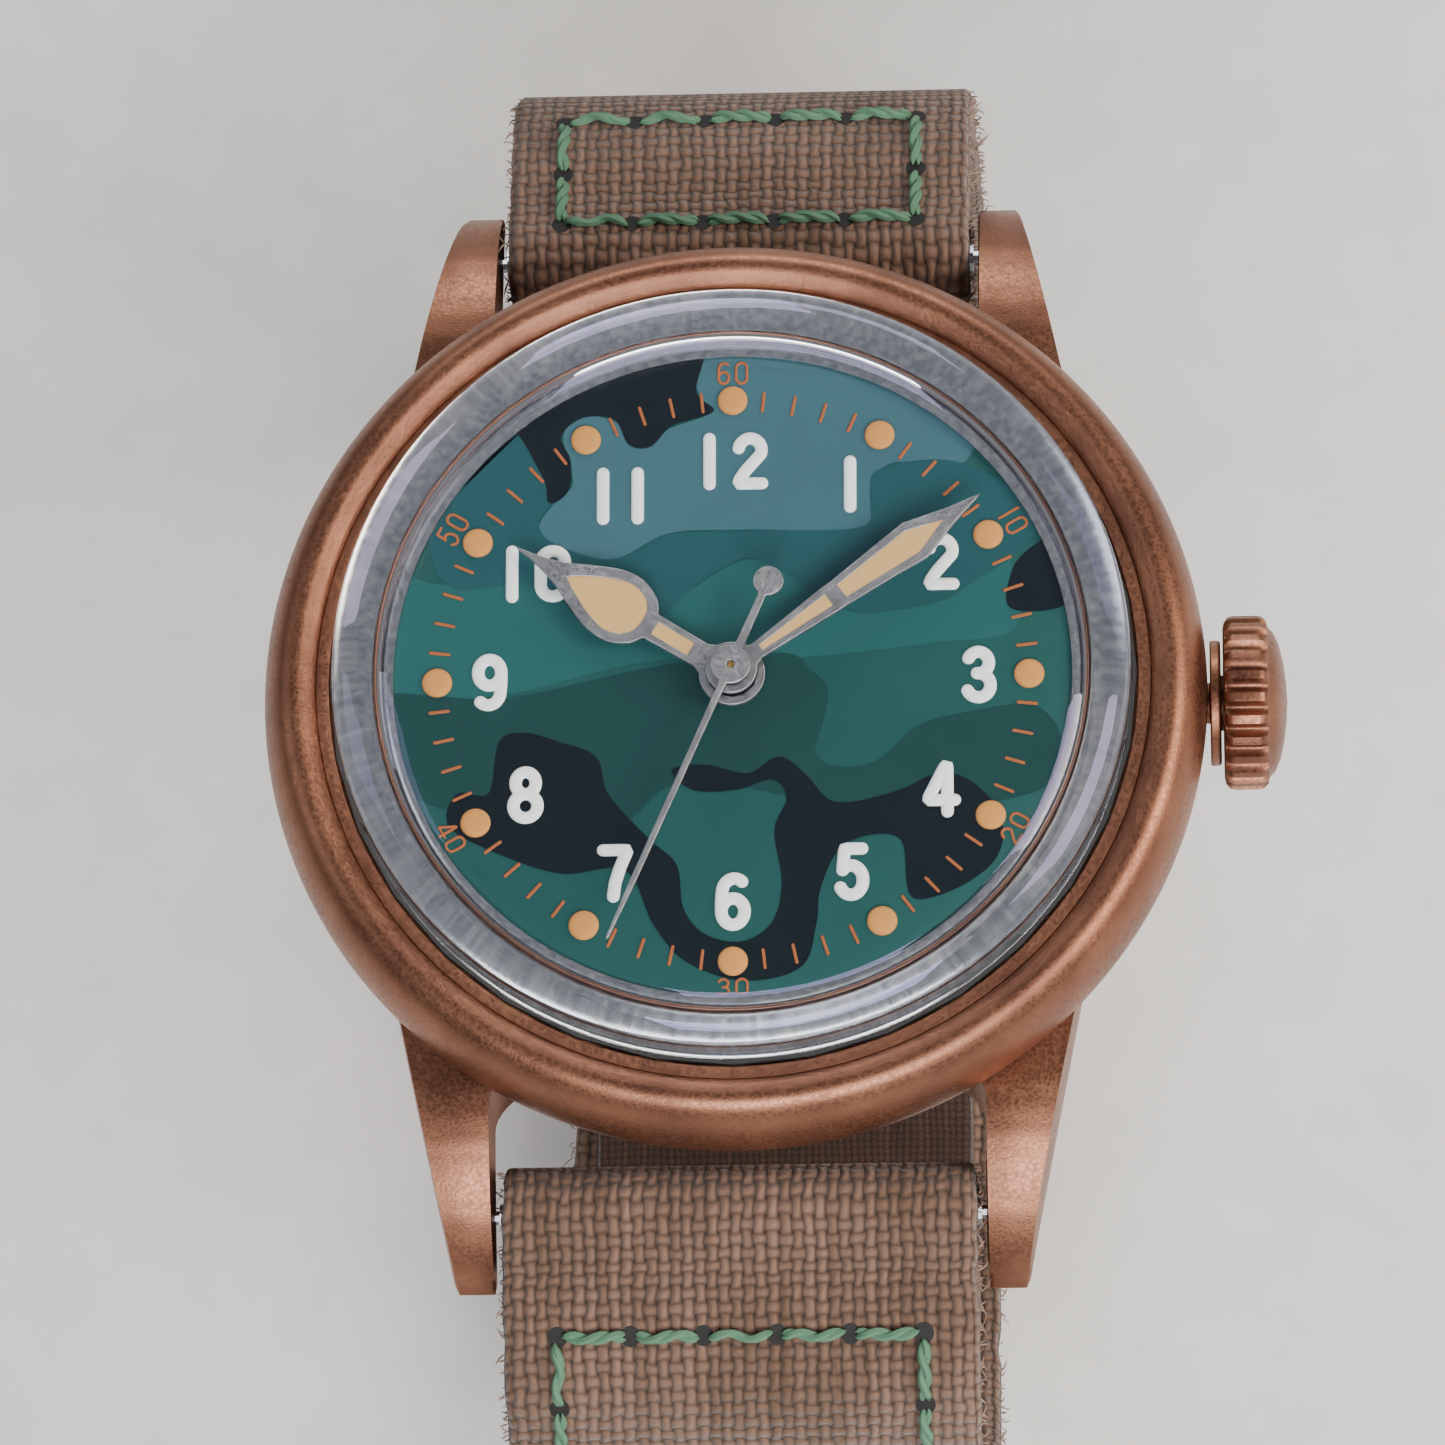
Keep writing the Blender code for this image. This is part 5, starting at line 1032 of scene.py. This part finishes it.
half = FRAME_X - FRAME_R - 0.2
pin = solid("turned_buckle_pin", turned(
    [(0, FRAME_X + 0.8), (PIN_R / 2 - 0.1, FRAME_X + 0.8), (PIN_R / 2, FRAME_X + 0.7), (PIN_R / 2, half),
     (PIN_R, half), (PIN_R, -half), (PIN_R / 2, -half), (PIN_R / 2, -FRAME_X - 0.7),
     (PIN_R / 2 - 0.1, -FRAME_X - 0.8), (0, -FRAME_X - 0.8)], 40, "X", (0, PIN_Y, PIN_Z)),
    polished_steel, around=False, closed=True)
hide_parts("buckle_pin")

# ---- caseback, crown tube and spring bars ----
# The back screws in against a gasket and has six half-round notches for a key. The crown's tube has a
# collar that covers its joint with the case.

BACK_R, NOTCH_R = 16.3, 1.3
turn = np.linspace(0, 2 * np.pi, 360, endpoint=False)
away = np.abs((turn / (np.pi / 3) + 0.5) % 1 - 0.5) * np.pi / 3 * BACK_R
notched = BACK_R - np.sqrt(np.clip(NOTCH_R**2 - away**2, 0, None))
rows = [(0 * turn, 0), (0 * turn + 9.0, 0), (0 * turn + 13.6, 0), (0 * turn + 13.75, 0.06),
        (0 * turn + 13.9, 0), (np.minimum(BACK_R - 0.5, notched), 0),
        (np.minimum(BACK_R - 0.25, notched), 0.12),
        (np.minimum(BACK_R, notched), 0.36), (np.minimum(BACK_R, notched), 0.45), (0 * turn + BACK_R, 0.451),
        (0 * turn + BACK_R, 0.8), (0 * turn + 14.4, 0.8), (0 * turn + 14.4, 1.8), (0 * turn + 13.6, 1.8),
        (0 * turn + 13.6, 0.9), (0 * turn, 0.9)]
grid = np.stack([np.stack([r * np.cos(turn), r * np.sin(turn), 0 * turn + z], axis=-1) for r, z in rows])
# Turned bronze: rings of tool marks about the centre of the back.
turned_bronze, tree, shader = finish("turned aluminium bronze", Metallic=1.0, Anisotropic=0.4)
place = add(tree, "TexCoord").outputs["Object"]
rings = add(tree, "TexWave", ("Vector", place), Scale=1 / (1.4 * MM), Distortion=0.4, wave_type="RINGS",
            rings_direction="Z")
tone = add(tree, "ValToRGB", ("Fac", rings.outputs["Fac"]))
tone.color_ramp.elements[0].color, tone.color_ramp.elements[1].color = hexed("#a8795f"), hexed("#c99a7c")
gloss = add(tree, "MapRange", ("Value", rings.outputs["Fac"]), To_Min=0.26, To_Max=0.42)
relief = add(tree, "Bump", ("Height", rings.outputs["Fac"]), Strength=0.15, Distance=0.03 * MM)
tree.links.new(tone.outputs["Color"], shader.inputs["Base Color"])
tree.links.new(gloss.outputs["Result"], shader.inputs["Roughness"])
tree.links.new(relief.outputs["Normal"], shader.inputs["Normal"])
back = solid("notched_back", grid, turned_bronze)
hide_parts("caseback")

collar = eased([(0.6, 20.95), (1.15, 20.95), (1.15, 20.05), (2.6, 20.05), (2.6, 19.6), (0.85, 19.6),
                (0.85, 14.9), (0.6, 14.9)], [0.05, 0.05, 0.02, 0.15, 0.08, 0.05, 0.05, 0.05], 4)
tube = solid("collared_tube", turned(collar, 96, "X", (0, 0, CROWN_Z)), blasted_bronze, closed=True)
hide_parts("crown_tube")
for name, y in (("twelve", BAR_Y), ("six", -BAR_Y)):
    sleeve = eased([(0.45, 8.7), (BAR_R, 8.7), (BAR_R, -8.7), (0.45, -8.7)], 0.1, 4)
    bar = solid(f"bar_sleeve_{name}", turned(sleeve, 40, "X", (0, y, BAR_Z)), polished_steel, closed=True)
    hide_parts(f"spring_bar_{name}")

# ---- movement and seals ----
# The movement keeps its CAD shapes. Plates are nickelled and striped, wheels gilt brass, pinions,
# springs and levers steel. The seals are moulded black rubber.

striped_nickel, tree, shader = finish("striped nickel plate", Metallic=1.0)
place = add(tree, "TexCoord").outputs["Object"]
stripes = add(tree, "TexWave", ("Vector", place), Scale=1 / (5.5 * MM), Distortion=0.0,
              bands_direction="DIAGONAL")
fine = add(tree, "TexNoise", ("Vector", place), Scale=1 / (0.12 * MM), Detail=3.0)
blend = add(tree, "Math", (0, stripes.outputs["Fac"]), (1, fine.outputs["Fac"]), operation="MULTIPLY_ADD")
blend.inputs[2].default_value = 0.2
gloss = add(tree, "MapRange", ("Value", blend.outputs[0]), To_Min=0.2, To_Max=0.42)
tone = add(tree, "ValToRGB", ("Fac", blend.outputs[0]))
tone.color_ramp.elements[0].color, tone.color_ramp.elements[1].color = hexed("#a9a8a3"), hexed("#cfcec9")
tree.links.new(gloss.outputs["Result"], shader.inputs["Roughness"])
tree.links.new(tone.outputs["Color"], shader.inputs["Base Color"])
gilt = drawn("gilt movement brass", "#d8b266", "#bd9448", grain=0.15, stretch=(1, 1, 1), roughness=0.28)
tempered = drawn("tempered steel", "#c3c6cc", "#9fa3ab", grain=0.1, stretch=(1, 1, 0.2), roughness=0.26)
blued = drawn("blued spring steel", "#3a4f86", "#2a3a69", grain=0.1, stretch=(1, 1, 1), roughness=0.22)
rubber, tree, shader = finish("moulded nitrile rubber", Roughness=0.6)
place = add(tree, "TexCoord").outputs["Object"]
skin = add(tree, "TexNoise", ("Vector", place), Scale=1 / (0.2 * MM), Detail=2.0)
tone = add(tree, "ValToRGB", ("Fac", skin.outputs["Fac"]))
tone.color_ramp.elements[0].color, tone.color_ramp.elements[1].color = hexed("#101010"), hexed("#1d1c1b")
relief = add(tree, "Bump", ("Height", skin.outputs["Fac"]), Strength=0.2, Distance=0.02 * MM)
tree.links.new(tone.outputs["Color"], shader.inputs["Base Color"])
tree.links.new(relief.outputs["Normal"], shader.inputs["Normal"])

finishes = {
    "mainplate barrel_bridge train_bridge balance_cock movement_ring": striped_nickel,
    "barrel centre_wheel third_wheel fourth_wheel hour_wheel minute_wheel balance_wheel": gilt,
    "stem winding_pinion sliding_clutch setting_lever crown_wheel ratchet_wheel click barrel_arbor "
    "cannon_pinion escape_wheel pallet_fork bar_tip_twelve_left bar_tip_twelve_right bar_tip_six_left "
    "bar_tip_six_right": tempered,
    "mainspring hairspring bridge_screw_1 bridge_screw_2 bridge_screw_3": blued,
    "crystal_gasket caseback_gasket crown_gasket": rubber,
}
for names, material in finishes.items():
    for name in names.split():
        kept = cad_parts[name].data
        kept.materials.clear()
        kept.materials.append(material)

# ---- studio ----
# The watch stands on its keepers on a pale matt floor, under large soft lamps.

low_z = cad_box[0][2] / MM
side = 4000.0
corner = np.linspace(-side, side, 25)
gx, gy = np.meshgrid(corner, corner, indexing="ij")
floor = solid("studio_floor", np.stack([gx, gy, np.full(gx.shape, low_z - 0.05)], axis=-1),
              luminous("pale matt floor", "#dddbd8", grain=3.0), body=None, around=False)

world = bpy.data.worlds.new("studio air")
world.use_nodes = True
world.node_tree.nodes["Background"].inputs["Color"].default_value = hexed("#dfe3ea")
world.node_tree.nodes["Background"].inputs["Strength"].default_value = 0.24
bpy.context.scene.world = world


def lamp(name, at, aim, wide, tall, power, tint="#ffffff"):
    """A soft rectangular lamp at a place, turned to face another."""
    light = bpy.data.lights.new(name, "AREA")
    light.shape, light.size, light.size_y = "RECTANGLE", wide * MM, tall * MM
    light.energy, light.color = power, hexed(tint)[:3]
    made = bpy.data.objects.new(name, light)
    made.location = Vector(at) * MM
    made.rotation_euler = (Vector(aim) - Vector(at)).to_track_quat("-Z", "Y").to_euler()
    bpy.context.scene.collection.objects.link(made)


lamp("right_lamp", (330, -20, 240), (0, 0, 0), 220, 240, 1.9, "#fff3e6")
lamp("left_lamp", (-330, 60, 260), (0, 0, 0), 120, 300, 0.25, "#eef2ff")
lamp("front_lamp", (60, -300, 300), (0, 0, 0), 340, 180, 2.7)
lamp("top_lamp", (0, 380, 190), (0, 0, 0), 300, 140, 0.9)

# The camera looks from the 6 o'clock side, 19 degrees off the dial's axis and a little to the right.
DISTANCE, LENS = 400.0, 242.0
toward = Vector((0.048, -0.322, 0.9455)).normalized()
upright = (Vector((0, 1, 0)) - toward * toward.y).normalized()
across = upright.cross(toward)
aim = Vector((0, 0, DIAL_TOP)) - across * 0.45 - upright * 1.63
camera = bpy.data.cameras.new("studio camera")
camera.lens, camera.sensor_width, camera.clip_start = LENS, 36.0, 0.01
holder = bpy.data.objects.new("studio camera", camera)
bpy.context.scene.collection.objects.link(holder)
basis = np.column_stack([across, upright, toward])
holder.rotation_euler = Matrix(basis.tolist()).to_euler()
holder.location = (aim + toward * DISTANCE) * MM
bpy.context.scene.camera = holder
